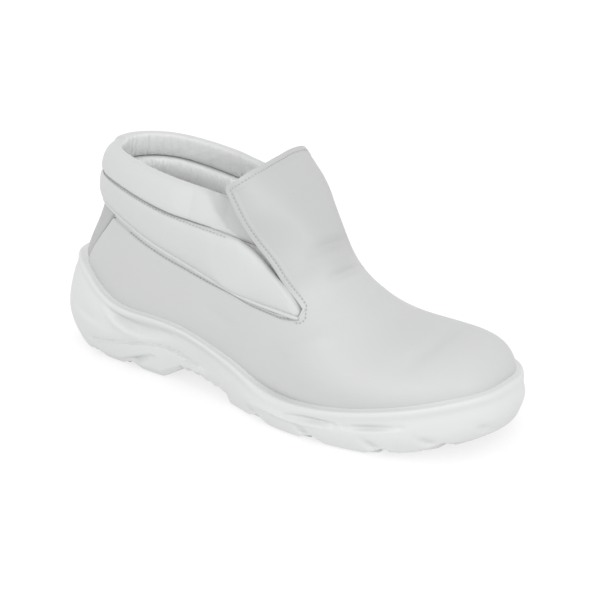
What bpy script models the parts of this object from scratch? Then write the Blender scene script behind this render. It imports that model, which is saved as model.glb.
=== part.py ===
"""Slip-on safety boot for the right foot: moulded cup sole, leather upper with a stand-up instep
flap, two padded collar rolls, elastic gussets, heel panel, piping and insole.

Frame: +X to the toe, +Y to the inner side of the foot, +Z up, with the floor at z = 0 and the origin
under the middle of the boot. Sizes are written in millimetres and turned into metres where a mesh is made.
"""

import math

import bmesh
import bpy
import numpy as np
from mathutils import Matrix, Vector
from mathutils.bvhtree import BVHTree

MM = 0.001
GAP = 0.3
WALL = 2.2

# Reach of cutters and rays that pass right through the boot
PAST_SIDE = 80.0
PAST_BACK = -220.0
PAST_TOP = 180.0

# Sole outline, seen from above
HEEL_BACK = -152.0
TOE_TIP = 152.0
HEEL_WIDEST_X = -98.0
HEEL_HALF_WIDTH = 40.0
WAIST_X = {"outer": -40.0, "inner": -38.0}
WAIST_HALF_WIDTH = {"outer": 39.0, "inner": 33.0}
BALL_X = {"outer": 44.0, "inner": 72.0}
BALL_HALF_WIDTH = {"outer": 55.6, "inner": 53.6}
HEEL_ROUNDNESS = 2.3
TOE_ROUNDNESS = {"outer": 2.25, "inner": 2.5}
TOE_APEX_Y = 9.0
SIDE_SIGN = {"outer": -1.0, "inner": 1.0}

# Upper: each section runs from a point on its front ridge to a point under the foot or at the back.
# Columns: name, top x and z, back x and z, middle y, outer and inner half width, share of the way at
# which it is widest, roundness of its front and of its back.
FORM_SECTIONS = (
    ("toe tip", 145.0, 34.0, 145.0, 25.0, 9.0, 0.0, 0.0, 0.70, 2.2, 5.0),
    ("toe front", 142.5, 45.0, 142.5, 24.0, 9.0, 20.0, 18.0, 0.70, 2.2, 5.0),
    ("toe cap", 130.0, 54.5, 129.0, 21.0, 7.0, 36.0, 34.5, 0.70, 2.3, 5.0),
    ("cap edge", 107.0, 58.5, 105.0, 17.0, 4.0, 45.5, 43.5, 0.70, 2.3, 5.0),
    ("ball", 81.0, 60.5, 74.0, 14.0, 0.5, 49.5, 48.0, 0.70, 2.3, 5.0),
    ("vamp", 62.0, 71.0, 30.0, 14.0, -1.0, 48.0, 41.0, 0.66, 2.3, 5.0),
    ("throat", 49.5, 86.0, -18.0, 18.0, -1.0, 40.5, 36.0, 0.60, 2.4, 5.0),
    ("waist", 42.0, 98.0, -74.0, 21.0, -1.0, 38.0, 36.0, 0.52, 2.7, 4.5),
    ("heel seat", 36.0, 108.0, -126.0, 24.0, 0.0, 37.5, 36.5, 0.48, 2.9, 3.4),
    ("heel", 29.5, 116.5, -142.0, 51.0, 0.0, 37.5, 37.0, 0.44, 3.2, 2.4),
    ("ankle", 22.0, 124.5, -130.5, 82.5, 0.0, 37.0, 37.0, 0.40, 3.6, 2.2),
    ("collar", 14.0, 132.0, -122.5, 105.0, 0.0, 36.5, 36.5, 0.38, 3.9, 2.2),
    ("rim", 4.5, 140.0, -119.0, 132.0, 0.0, 36.5, 36.5, 0.36, 4.2, 2.2),
    ("over the rim", -5.0, 148.0, -117.0, 150.0, 0.0, 36.5, 36.5, 0.36, 4.2, 2.2),
)
FORM_RINGS = 32
FORM_POINTS = 28

# Sections that pass under the foot, and the share of the form above which the collar's lines lie
FOOT_SECTIONS = 9
COLLAR_FROM = 0.35

# Lines of the upper and the collar, seen from the side
TOPLINE = ((-130.0, 99.5), (-103.0, 98.0), (-73.0, 90.0), (-36.0, 79.0), (-12.0, 72.0), (11.0, 68.0),
           (40.0, 65.0))
SEAM = ((-130.0, 116.5), (-98.0, 116.5), (-72.0, 112.8), (-47.0, 109.0), (-23.0, 106.0), (0.0, 101.5),
        (25.0, 95.0))
RIM = ((-130.0, 131.5), (-95.0, 131.5), (-75.0, 130.0), (-45.0, 127.5), (-20.0, 125.0), (10.0, 121.5))
FLAP_EDGE = ((39.0, 69.0), (28.5, 78.3), (18.7, 88.0), (7.5, 99.5), (-3.0, 114.0), (-12.5, 130.5))
FLAP_CORNER = ((-13.6, 133.0), (-13.4, 135.2), (-11.6, 136.6))
FLAP_TOP = ((-3.2, 140.4), (-0.9, 144.4), (20.0, 147.0))
NOTCH = (36.5, 66.6)
TOPLINE_END = 31.0

# Heel panel, seen from the back: half width and height at its top and its foot, depth of its two faces
PANEL_TOP = (28.5, 96.5)
PANEL_LOW = (22.0, 52.0)
PANEL_DEPTH = (0.8, 2.2)
PANEL_WINDOW_TOP = 120.0
PANEL_WINDOW_FRONT = -80.0

# Piping: how far its middle stands out of the upper, and the angle at which it ends
PIPING_RADIUS = 1.3
PIPING_OUT = -0.6
PIPING_END = 1.12
PIPING_POINTS = 42

# Padded rolls: offsets of the two sides of an edge, bulge of the two sides, angles of the front ends
ROLL_EDGE = (-0.8, -5.0)
ROLL_CREST = (-7.0, -8.0)
LOWER_ROLL_BULGE = 4.0
UPPER_ROLL_BULGE = 4.5
LOWER_ROLL_END = 1.10
UPPER_ROLL_END = 0.95
ROLL_RINGS = 34
ROLL_ROWS = 6
ROLL_SQUARENESS = 0.7
ROLL_TAPER = 0.12
ROLL_END_FULLNESS = 0.15

# Upper roll beside the flap: how far it is pressed in, and the angles over which that fades
FLAP_TUCK = 7.5
FLAP_TUCK_SPAN = (1.28, 1.62)

# Gussets: angles of the two ends, depth of the two faces, and the gap left under the rolls' seam
GUSSET_SPAN = (0.82, 1.085)
GUSSET_DEPTH = (2.9, 4.3)
GUSSET_UNDER_SEAM = 1.0

# Sole by station along the outline.
# Columns: x, height of the bottom edge, its inset, height of the widest place, height of the top edge.
SOLE_SECTIONS = (
    (-152.0, 4.0, 7.0, 25.0, 65.0),
    (-147.0, 2.0, 7.0, 25.0, 64.0),
    (-140.0, 0.5, 7.0, 25.0, 61.0),
    (-130.0, 0.0, 7.0, 25.0, 54.5),
    (-116.0, 0.0, 6.5, 24.0, 48.5),
    (-100.0, 0.0, 6.0, 23.0, 44.5),
    (-86.0, 0.0, 5.0, 22.0, 41.0),
    (-61.0, 0.0, 3.0, 21.0, 39.4),
    (-46.0, 9.3, 2.5, 21.0, 40.0),
    (-34.0, 8.7, 2.0, 19.0, 37.5),
    (-24.0, 6.5, 2.0, 17.0, 34.0),
    (-11.5, 5.2, 2.0, 14.0, 28.6),
    (-7.5, 0.0, 2.0, 13.0, 27.0),
    (10.0, 0.0, 2.0, 11.0, 21.8),
    (30.0, 0.0, 2.0, 10.0, 19.8),
    (54.0, 0.0, 2.0, 10.0, 20.3),
    (74.0, 0.0, 2.2, 11.0, 23.3),
    (92.0, 0.0, 2.6, 12.5, 26.4),
    (114.0, 4.0, 3.0, 16.0, 31.0),
    (131.0, 8.0, 3.2, 19.5, 35.0),
    (146.0, 11.5, 3.5, 23.0, 37.5),
    (152.0, 12.5, 3.5, 24.0, 37.8),
)
LIP = 3.0
LIP_ROUND = 0.8
LID_INSET = 5.0
LID_FALL = 0.5
SIDE_ROWS = 14
UNDERCUT_POWER = 1.8
SHOULDER_POWER = 1.6

# Bead along the sole's top edge and the groove under it: distance below the edge, half height, height out
BEAD = (2.4, 1.7, 0.9)
BEAD_GROOVE = (6.6, 1.6, -0.9)

# Band above the lugs, seen from the side: below this line the sole stands proud
LUG_BAND = ((-120.0, 11.5), (-100.0, 15.6), (-86.0, 18.6), (-73.0, 21.2), (-57.0, 23.4), (-42.0, 20.4),
            (-26.0, 16.0))
LUG_BAND_OUT = 0.8
LUG_BAND_STEP = 1.5
LUG_BAND_FADE = 6.0

# Hollows in the sole's side, seen from the side.
# Columns: name, depth, half height, line that it follows.
SIDE_RELIEF = (
    ("heel scoop", 2.4, 3.4, ((-113.0, 43.0), (-104.0, 37.2), (-90.0, 32.5), (-75.0, 30.0), (-54.0, 33.0))),
    ("heel crease", 0.8, 2.6, ((-130.0, 31.0), (-119.0, 27.6), (-107.0, 26.0))),
    ("lug scoop", 1.6, 2.4, ((-91.0, 4.0), (-82.0, 8.0), (-68.0, 14.5))),
    ("forefoot leaf", 1.4, 1.9, ((40.0, 13.0), (51.0, 14.6), (68.0, 15.4))),
    ("forefoot slot", 1.5, 1.9, ((77.0, 15.0), (95.0, 17.8), (107.0, 20.3))),
    ("first lug scoop", 1.2, 2.2, ((9.0, 6.0), (18.0, 0.0))),
    ("second lug scoop", 1.4, 2.2, ((46.0, 7.5), (56.0, 0.0))),
    ("third lug scoop", 1.4, 2.2, ((87.0, 9.5), (97.0, 3.0))),
    ("fourth lug scoop", 1.4, 2.2, ((116.0, 15.0), (127.0, 9.0))),
)

HOLLOW_END = 0.12

# Tread grooves, across the sole and along it.
# Columns: middle x and y, length along x and y, depth, turn in degrees.
CROSS_GROOVES = (
    (-117.0, 0.0, 4.0, 150.0, 4.5, 4.0),
    (-89.0, 0.0, 8.0, 150.0, 5.0, 6.0),
    (28.0, 0.0, 5.0, 150.0, 4.0, -12.0),
    (47.5, 0.0, 4.0, 70.0, 3.0, -12.0),
    (67.0, 0.0, 5.0, 150.0, 4.0, -12.0),
    (87.5, 0.0, 4.0, 66.0, 3.0, -13.0),
    (108.5, 0.0, 5.0, 150.0, 3.0, -14.0),
    (136.5, 0.0, 5.0, 150.0, 2.4, -16.0),
)
LONG_GROOVES = (
    (-94.0, 0.0, 74.0, 12.0, 3.5, 0.0),
    (58.0, 2.0, 116.0, 7.0, 3.0, 4.0),
)

# Insole: height of its top over the form's underside, and the ends of the block that it is cut from
INSOLE_TOP = 6.0
INSOLE_ENDS = (-150.0, 150.0)
INSOLE_HEEL_TOP = 32.0

# Opening under the upper, closed by the sole: its inset from the sole's outline, and its cutter's heights
LASTING_INSET = 24.0
LASTING_HEIGHTS = (-10.0, 28.0)


def half_width(x, side, inset):
    """Sole outline between the heel's and the ball's widest places: distance from the mid line at x."""
    heel = (HEEL_WIDEST_X, HEEL_HALF_WIDTH - inset)
    waist = (WAIST_X[side], WAIST_HALF_WIDTH[side] - inset)
    ball = (BALL_X[side], BALL_HALF_WIDTH[side] - inset)
    start, end = (heel, waist) if x < waist[0] else (waist, ball)
    share = (x - start[0]) / (end[0] - start[0])
    return start[1] + (end[1] - start[1]) * (1 - math.cos(math.pi * share)) / 2


def outline_half(side, inset=0.0, count=10):
    """One side of the sole outline, from the heel's back to the toe's tip, as rows of (x, y)."""
    sign = SIDE_SIGN[side]
    points = []
    power = 2 / HEEL_ROUNDNESS
    for angle in np.linspace(0, math.pi / 2, count, endpoint=False):
        x = HEEL_WIDEST_X - (HEEL_WIDEST_X - HEEL_BACK - inset) * math.cos(angle) ** power
        points.append((x, sign * (HEEL_HALF_WIDTH - inset) * math.sin(angle) ** power))
    for x in np.linspace(HEEL_WIDEST_X, BALL_X[side], 2 * count, endpoint=False):
        points.append((x, sign * half_width(x, side, inset)))
    power = 2 / TOE_ROUNDNESS[side]
    for angle in np.linspace(0, math.pi / 2, 2 * count):
        reach = max(math.cos(angle), 0.0) ** power if angle < math.pi / 2 else 0.0
        x = BALL_X[side] + (TOE_TIP - inset - BALL_X[side]) * math.sin(angle) ** power
        points.append((x, sign * (BALL_HALF_WIDTH[side] - inset) * reach + TOE_APEX_Y * (1 - reach)))
    return np.array(points)


def outline_loop(inset=0.0):
    """The whole sole outline, out along the outer side and back along the inner side."""
    return np.vstack([outline_half("outer", inset), outline_half("inner", inset)[-2:0:-1]])


def spline(knots, values, at):
    """Natural cubic spline through rows of values."""
    knots, values = np.asarray(knots, float), np.asarray(values, float)
    step = np.diff(knots)
    count = len(knots)
    matrix = np.eye(count)
    right = np.zeros((count, values.shape[1]))
    slope = np.diff(values, axis=0) / step[:, None]
    for i in range(1, count - 1):
        matrix[i, i - 1 : i + 2] = step[i - 1], 2 * (step[i - 1] + step[i]), step[i]
        right[i] = 6 * (slope[i] - slope[i - 1])
    bend = np.linalg.solve(matrix, right)
    at = np.clip(np.asarray(at, float), knots[0], knots[-1])
    i = np.clip(np.searchsorted(knots, at, side="right") - 1, 0, count - 2)
    a = ((knots[i + 1] - at) / step[i])[..., None]
    b = 1 - a
    curve = ((a**3 - a) * bend[i] + (b**3 - b) * bend[i + 1]) * (step[i] ** 2)[..., None] / 6
    return a * values[i] + b * values[i + 1] + curve


def line_height(line, x):
    """Height of a side-view line at x."""
    table = np.array(line)
    return spline(table[:, 0], table[:, 1:], x)[..., 0]


def line_points(line, count):
    """Points along a side-view line, evenly spread over its own points."""
    return spline(np.arange(len(line)), np.array(line), np.linspace(0, len(line) - 1, count))


def form_surface(share, angle):
    """Upper's outer surface: share runs from the toe's tip to over the rim, angle turns round a section."""
    share, angle = np.broadcast_arrays(np.asarray(share, float), np.asarray(angle, float))
    values = np.array([row[1:] for row in FORM_SECTIONS])
    travel = np.linalg.norm(np.diff(values[:, :7], axis=0), axis=1)
    knots = np.concatenate([[0], np.cumsum(travel)]) / travel.sum()
    row = np.moveaxis(spline(knots, values, share), -1, 0)
    top_x, top_z, back_x, back_z, mid, outer, inner, widest, top_n, back_n = row
    cosine, sine = np.cos(angle), np.sin(angle)
    power = 2 / np.where(cosine > 0, top_n, back_n)
    reach = np.abs(cosine) ** power
    along = np.where(cosine > 0, widest * (1 - reach), widest + (1 - widest) * reach)
    half = np.where(sine > 0, -np.maximum(outer, 0), np.maximum(inner, 0))
    y = mid + half * np.abs(sine) ** power
    return np.stack([top_x + (back_x - top_x) * along, y, top_z + (back_z - top_z) * along], axis=-1)


def form_points(share, angle, offset):
    """Points of the upper's surface, moved outwards along its normal."""
    share, angle, offset = np.broadcast_arrays(share, angle, offset)
    step = 0.002
    run = form_surface(share + step, angle) - form_surface(share - step, angle)
    turn = form_surface(share, angle + step) - form_surface(share, angle - step)
    normal = np.cross(run, turn)
    normal /= np.linalg.norm(normal, axis=-1, keepdims=True) + 1e-12
    normal[share <= 0] = (1.0, 0.0, 0.0)
    return form_surface(share, angle) + normal * offset[..., None]


def form_rings(offset):
    """Rings of the upper's form, moved outwards by offset."""
    share = np.linspace(0, 1, FORM_RINGS)[:, None]
    angle = np.linspace(0, 2 * math.pi, FORM_POINTS, endpoint=False)[None, :]
    return form_points(share, angle, offset)


def share_at(line, angle):
    """Share at which the form's surface, at each angle, crosses a side-view line."""
    low = np.full_like(angle, COLLAR_FROM)
    high = np.ones_like(angle)
    for _ in range(40):
        middle = (low + high) / 2
        point = form_surface(middle, angle)
        below = point[..., 2] < line_height(line, point[..., 0])
        low = np.where(below, middle, low)
        high = np.where(below, high, middle)
    return (low + high) / 2


def skin(bm, rings):
    """Rows of vertices at rings of points, with faces between the rows."""
    rows = [[bm.verts.new(Vector(point) * MM) for point in ring] for ring in rings]
    count = len(rows[0])
    for low, high in zip(rows, rows[1:]):
        for i in range(count):
            j = (i + 1) % count
            bm.faces.new((low[i], low[j], high[j], high[i]))
    return rows


def cross_strips(bm, row, last, shift):
    """Close a row with strips across it, from each vertex to the one opposite."""
    count = len(row)
    for i in range(last):
        corners = [row[i], row[i + 1], row[(shift - i - 1) % count], row[(shift - i) % count]]
        bm.faces.new(list(dict.fromkeys(corners)))


def form_solid(offset):
    """Closed mesh of the upper's form. Its first ring is an upright edge at the toe's tip."""
    bm = bmesh.new()
    rows = skin(bm, form_rings(offset))
    cross_strips(bm, rows[-1], FORM_POINTS // 2, FORM_POINTS)
    bmesh.ops.remove_doubles(bm, verts=bm.verts, dist=0.00001)
    bmesh.ops.recalc_face_normals(bm, faces=bm.faces)
    return bm


def roll_solid(rings):
    """Closed mesh of a padded roll, each ring up its outside and down its inside."""
    bm = bmesh.new()
    rows = skin(bm, rings)
    count = len(rings[0])
    for row in (rows[0], rows[-1]):
        cross_strips(bm, row, count // 2 - 1, count - 1)
    bmesh.ops.recalc_face_normals(bm, faces=bm.faces)
    return bm


def prism(outline, axis, low, high):
    """Closed mesh of a flat outline that is drawn out along an axis."""
    bm = bmesh.new()
    corners = []
    for pair in outline:
        point = list(pair)
        point.insert(axis, low)
        corners.append(bm.verts.new(Vector(point) * MM))
    face = bm.faces.new(corners)
    made = bmesh.ops.extrude_face_region(bm, geom=[face])["geom"]
    step = Vector((0, 0, 0))
    step[axis] = (high - low) * MM
    bmesh.ops.translate(bm, vec=step, verts=[item for item in made if isinstance(item, bmesh.types.BMVert)])
    bmesh.ops.recalc_face_normals(bm, faces=bm.faces)
    return bm


def slab(front, back):
    """Closed mesh between two grids of points of the same size."""
    rows, columns = front.shape[:2]
    bm = bmesh.new()
    bmesh.ops.create_grid(bm, x_segments=rows - 1, y_segments=columns - 1, size=1)
    order = sorted(bm.verts, key=lambda vert: (round(vert.co.x, 4), round(vert.co.y, 4)))
    made = bmesh.ops.extrude_face_region(bm, geom=bm.faces[:])["geom"]
    copies = [item for item in made if isinstance(item, bmesh.types.BMVert)]
    copies.sort(key=lambda vert: (round(vert.co.x, 4), round(vert.co.y, 4)))
    for vert, copy, near, far in zip(order, copies, front.reshape(-1, 3), back.reshape(-1, 3)):
        vert.co = Vector(near) * MM
        copy.co = Vector(far) * MM
    bmesh.ops.recalc_face_normals(bm, faces=bm.faces)
    return bm


def add_object(name, bm, collection, material=None):
    """Object of a closed mesh, faces outwards. One without a material is a cutter."""
    if bm.calc_volume(signed=True) < 0:
        bmesh.ops.reverse_faces(bm, faces=bm.faces)
    mesh = bpy.data.meshes.new(name)
    bm.to_mesh(mesh)
    bm.free()
    piece = bpy.data.objects.new(name, mesh)
    collection.objects.link(piece)
    if material is None:
        piece.hide_render = True
        piece.display_type = "WIRE"
    else:
        mesh.materials.append(material)
        mesh.shade_smooth()
        mesh.set_sharp_from_angle(angle=math.radians(40))
    return piece


def shape_with(piece, tool, operation):
    """Cut or keep a piece with another solid."""
    change = piece.modifiers.new(tool.name, "BOOLEAN")
    change.object = tool
    change.operation = operation
    change.solver = "EXACT"


def finish(name, color, roughness):
    material = bpy.data.materials.new(name)
    material.use_nodes = True
    shader = material.node_tree.nodes["Principled BSDF"]
    shader.inputs["Base Color"].default_value = (*color, 1.0)
    shader.inputs["Roughness"].default_value = roughness
    shader.inputs["Metallic"].default_value = 0.0
    return material


def surface_tree(offset):
    """Form's surface as a tree that rays can be cast at, in millimetres."""
    rings = form_rings(offset)
    count = FORM_POINTS
    faces = []
    for r in range(FORM_RINGS - 1):
        for i in range(count):
            j = (i + 1) % count
            faces.append((r * count + i, r * count + j, (r + 1) * count + j, (r + 1) * count + i))
    return BVHTree.FromPolygons(rings.reshape(-1, 3).tolist(), faces)


def upper_opening():
    """Side view of what lies above the upper: over its topline, behind its flap and over the flap's top."""
    places = np.linspace(HEEL_BACK, TOPLINE_END, 20)
    top = [(x, line_height(TOPLINE, x) - PIPING_RADIUS - GAP) for x in places]
    edge = [tuple(point) for point in line_points((NOTCH,) + FLAP_EDGE, 14)]
    over = [(FLAP_TOP[-1][0], PAST_TOP), (HEEL_BACK, PAST_TOP)]
    return top + edge + list(FLAP_CORNER + FLAP_TOP) + over


def make_upper(parts, cutters, leather):
    upper = add_object("upper", form_solid(0.0), parts, leather)
    inside = add_object("upper_inside", form_solid(-WALL), cutters)
    shape_with(upper, inside, "DIFFERENCE")
    above = add_object("upper_above", prism(upper_opening(), 1, -PAST_SIDE, PAST_SIDE), cutters)
    shape_with(upper, above, "DIFFERENCE")
    under = add_object("upper_under", prism(outline_loop(LASTING_INSET), 2, *LASTING_HEIGHTS), cutters)
    shape_with(upper, under, "DIFFERENCE")
    wide, high = PANEL_TOP
    narrow, low = PANEL_LOW
    widest = narrow + (wide - narrow) * (PANEL_WINDOW_TOP - low) / (high - low)
    corners = ((-narrow, low), (narrow, low), (widest, PANEL_WINDOW_TOP), (-widest, PANEL_WINDOW_TOP))
    window = add_object("heel_window", prism(corners, 0, PAST_BACK, PANEL_WINDOW_FRONT), cutters)
    shape_with(upper, window, "DIFFERENCE")


def make_heel_panel(parts, leather):
    wide, high = PANEL_TOP
    narrow, low = PANEL_LOW
    layers = []
    for depth in PANEL_DEPTH:
        tree = surface_tree(-depth)
        columns = []
        for share in np.linspace(-1, 1, 9):
            rim = tree.ray_cast(Vector((PAST_BACK, share * wide, high)), Vector((1, 0, 0)))[0]
            top = line_height(TOPLINE, rim.x) - PIPING_RADIUS - GAP
            column = []
            for z in np.linspace(low + GAP, top, 7):
                half = narrow + (wide - narrow) * (z - low) / (high - low) - GAP
                hit = tree.ray_cast(Vector((PAST_BACK, share * half, z)), Vector((1, 0, 0)))[0]
                column.append(tuple(hit))
            columns.append(column)
        layers.append(np.array(columns))
    add_object("heel_panel", slab(*layers), parts, leather)


def make_insole(parts, cutters, felt):
    values = np.array([row[1:] for row in FORM_SECTIONS[:FOOT_SECTIONS]])
    top = [(x, z + INSOLE_TOP) for x, z in zip(values[:, 2], values[:, 3])]
    back, front = INSOLE_ENDS
    profile = top + [(back, INSOLE_HEEL_TOP), (back, 0.0), (front, 0.0)]
    insole = add_object("insole", form_solid(-WALL - GAP), parts, felt)
    bed = add_object("insole_bed", prism(profile, 1, -PAST_SIDE, PAST_SIDE), cutters)
    shape_with(insole, bed, "INTERSECT")


def line_distance(x, z, line):
    """Distance of side-view points from a line, and how far along the line the nearest place is."""
    points = np.array(line)
    best = np.full(x.shape, np.inf)
    share = np.zeros(x.shape)
    for i, (start, end) in enumerate(zip(points, points[1:])):
        run = end - start
        along = np.clip(((x - start[0]) * run[0] + (z - start[1]) * run[1]) / (run @ run), 0, 1)
        distance = np.hypot(x - start[0] - along * run[0], z - start[1] - along * run[1])
        share = np.where(distance < best, (i + along) / (len(points) - 1), share)
        best = np.minimum(best, distance)
    return best, share


def side_relief(x, z):
    """How far the sole's side is set in by its hollows and out by its lug band."""
    inset = np.zeros(x.shape)
    for _, depth, half_height, line in SIDE_RELIEF:
        distance, share = line_distance(x, z, line)
        ends = np.sin(math.pi * np.clip(share, HOLLOW_END, 1 - HOLLOW_END))
        inset += depth * np.exp(-((distance / half_height) ** 2)) * ends
    band = np.array(LUG_BAND)
    below = np.interp(x, band[:, 0], band[:, 1]) - z
    back_fade = np.clip((x - band[0, 0]) / LUG_BAND_FADE, 0, 1)
    front_fade = np.clip((band[-1, 0] - x) / LUG_BAND_FADE, 0, 1)
    return inset - LUG_BAND_OUT * back_fade * front_fade * np.clip(below / LUG_BAND_STEP + 0.5, 0, 1)


def lip_reach(loop, inward, top):
    """Distance from the outline in to the outside of the lip, level with the lip."""
    tree = surface_tree(LIP)
    away = 20
    reach = []
    for point, way, z in zip(loop, inward, top):
        hit = tree.ray_cast(Vector((*(point - way * away), z)), Vector((*way, 0.0)))
        reach.append(hit[3] - away)
    return np.array(reach)


def sole_rings():
    """Rows of points round the sole, from its bottom edge up its side to the inner edge of its lip."""
    loop = outline_loop()
    table = np.array(SOLE_SECTIONS)
    bottom, foot, widest, top = (np.interp(loop[:, 0], table[:, 0], table[:, i]) for i in range(1, 5))
    along = np.roll(loop, -1, axis=0) - np.roll(loop, 1, axis=0)
    along /= np.linalg.norm(along, axis=1, keepdims=True)
    inward = np.stack([-along[:, 1], along[:, 0]], axis=1)
    reach = lip_reach(loop, inward, top)

    def ring(inset, z):
        return np.column_stack([loop + inward * inset[:, None], z])

    rings = []
    for share in np.linspace(0, 1, SIDE_ROWS):
        z = bottom + (top - LIP_ROUND - bottom) * share
        under = foot * np.clip((widest - z) / (widest - bottom), 0, 1) ** UNDERCUT_POWER
        over = reach * np.clip((z - widest) / (top - widest), 0, 1) ** SHOULDER_POWER
        inset = under + over + side_relief(loop[:, 0], z) * min(1.0, 6 * share)
        for below, half_height, out in (BEAD, BEAD_GROOVE):
            inset = inset - out * np.exp(-(((top - below - z) / half_height) ** 2))
        rings.append(ring(inset, z))
    rings.append(ring(reach + LIP_ROUND, top))
    rings.append(ring(reach + LID_INSET, top - LID_FALL))
    return rings


def sole_block():
    """Closed mesh of the sole's outside, with lid and bottom as strips across it."""
    bm = bmesh.new()
    rows = skin(bm, sole_rings())
    for row in (rows[0], rows[-1]):
        cross_strips(bm, row, len(row) // 2, len(row))
    bmesh.ops.recalc_face_normals(bm, faces=bm.faces)
    return bm


def groove_cutter(grooves):
    """Grooves of the tread, joined in one cutter."""
    table = np.array(SOLE_SECTIONS)
    bm = bmesh.new()
    for x, y, length_x, length_y, depth, turn in grooves:
        base = np.interp(x, table[:, 0], table[:, 1])
        made = bmesh.ops.create_cube(bm, size=1)["verts"]
        bmesh.ops.scale(bm, vec=Vector((length_x, length_y, 2 * depth)) * MM, verts=made)
        bmesh.ops.rotate(bm, cent=(0, 0, 0), matrix=Matrix.Rotation(math.radians(turn), 3, "Z"), verts=made)
        bmesh.ops.translate(bm, vec=Vector((x, y, base)) * MM, verts=made)
    return bm


def make_sole(parts, cutters, moulded):
    sole = add_object("sole", sole_block(), parts, moulded)
    room = add_object("sole_room", form_solid(GAP), cutters)
    shape_with(sole, room, "DIFFERENCE")
    shape_with(sole, add_object("cross_grooves", groove_cutter(CROSS_GROOVES), cutters), "DIFFERENCE")
    shape_with(sole, add_object("long_grooves", groove_cutter(LONG_GROOVES), cutters), "DIFFERENCE")


def collar_angles(front, count):
    """Angles round the collar, from its outer front end round the back to its inner front end."""
    return np.linspace(front, 2 * math.pi - front, count)


def roll_rings(angles, low, high, crest, bulge, tuck):
    """Rings of a padded roll between two rows of shares. Crest is the offset of its top edge's two sides."""
    turns = np.linspace(0, math.pi, ROLL_ROWS)
    climb = (1 - np.cos(turns)) / 2
    crown = bulge * np.sin(turns) ** ROLL_SQUARENESS
    ends = np.minimum(angles - angles[0], angles[-1] - angles)
    swell = np.maximum(1 - np.clip(1 - ends / ROLL_TAPER, 0, 1) ** 2, ROLL_END_FULLNESS)
    rings = []
    for angle, start, end, inwards, fullness in zip(angles, low, high, tuck, swell):
        share = start + (end - start) * climb
        outside = ROLL_EDGE[0] + (crest[0] - ROLL_EDGE[0]) * climb + crown * fullness - inwards
        inside = ROLL_EDGE[1] + (crest[1] - ROLL_EDGE[1]) * climb - crown * fullness - inwards
        front = form_points(share, angle, outside)
        back = form_points(share, angle, inside)
        rings.append(np.vstack([front, back[::-1]]))
    return rings


def make_lower_roll(parts, leather):
    angles = collar_angles(LOWER_ROLL_END, ROLL_RINGS)
    low = share_at(tuple((x, z + PIPING_RADIUS + GAP) for x, z in TOPLINE), angles)
    high = share_at(SEAM, angles)
    rings = roll_rings(angles, low, high, ROLL_EDGE, LOWER_ROLL_BULGE, np.zeros_like(angles))
    add_object("collar_lower_roll", roll_solid(rings), parts, leather)


def make_upper_roll(parts, leather):
    angles = collar_angles(UPPER_ROLL_END, ROLL_RINGS)
    low = share_at(tuple((x, z + GAP) for x, z in SEAM), angles)
    high = share_at(RIM, angles)
    from_front = np.minimum(angles, 2 * math.pi - angles)
    tuck = FLAP_TUCK * np.interp(from_front, FLAP_TUCK_SPAN, (1, 0))
    rings = roll_rings(angles, low, high, ROLL_CREST, UPPER_ROLL_BULGE, tuck)
    add_object("collar_upper_roll", roll_solid(rings), parts, leather)


def make_piping(parts, leather):
    angles = collar_angles(PIPING_END, PIPING_POINTS)
    share = share_at(TOPLINE, angles)
    path = form_points(share, angles, np.full_like(angles, PIPING_OUT))
    curve = bpy.data.curves.new("collar_piping", "CURVE")
    curve.dimensions = "3D"
    curve.bevel_depth = PIPING_RADIUS * MM
    curve.bevel_resolution = 1
    curve.use_fill_caps = True
    run = curve.splines.new("POLY")
    run.points.add(len(path) - 1)
    for point, place in zip(run.points, path):
        point.co = (*(Vector(place) * MM), 1.0)
    curve.materials.append(leather)
    piping = bpy.data.objects.new("collar_piping", curve)
    parts.objects.link(piping)
    weld = piping.modifiers.new("weld", "WELD")
    weld.merge_threshold = 0.00005


def make_gussets(parts, elastic):
    span = np.linspace(*GUSSET_SPAN, 6)
    for side, angles in (("outer", span), ("inner", 2 * math.pi - span)):
        low = share_at(TOPLINE, angles)
        high = share_at(tuple((x, z - GUSSET_UNDER_SEAM) for x, z in SEAM), angles)
        share = low + (high - low) * np.linspace(0, 1, 8)[:, None]
        front, back = (form_points(share, angles, -depth) for depth in GUSSET_DEPTH)
        add_object("gusset_" + side, slab(front, back), parts, elastic)


def main():
    for item in list(bpy.data.objects):
        bpy.data.objects.remove(item, do_unlink=True)
    scene = bpy.context.scene
    parts = bpy.data.collections.new("slip_on_safety_boot")
    cutters = bpy.data.collections.new("cutters")
    scene.collection.children.link(parts)
    scene.collection.children.link(cutters)
    leather = finish("white_leather", (0.66, 0.66, 0.67), 0.45)
    soft_leather = finish("white_soft_leather", (0.72, 0.72, 0.73), 0.42)
    moulded = finish("white_moulded_sole", (0.76, 0.76, 0.77), 0.4)
    elastic = finish("grey_elastic", (0.5, 0.5, 0.51), 0.8)
    felt = finish("pale_felt", (0.6, 0.6, 0.6), 0.9)
    make_sole(parts, cutters, moulded)
    make_upper(parts, cutters, leather)
    make_heel_panel(parts, leather)
    make_lower_roll(parts, soft_leather)
    make_upper_roll(parts, soft_leather)
    make_piping(parts, soft_leather)
    make_gussets(parts, elastic)
    make_insole(parts, cutters, felt)


main()
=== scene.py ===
"""Looks of the slip-on safety boot: leather, padded collar, moulded sole, elastic, stitches and stage.

Sizes are written in millimetres and turned into metres where a mesh is made. +X is to the toe, +Y to
the inner side of the foot and +Z up. A turn counts quarters round a section of the upper: 0 is the front
ridge, 1 the outer side, 2 the back, and negative turns lie on the inner side.
"""

import math

import bmesh
import bpy
import numpy as np
from bpy.props import FloatProperty, FloatVectorProperty, PointerProperty
from mathutils import Matrix, Vector
from mathutils.bvhtree import BVHTree

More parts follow.
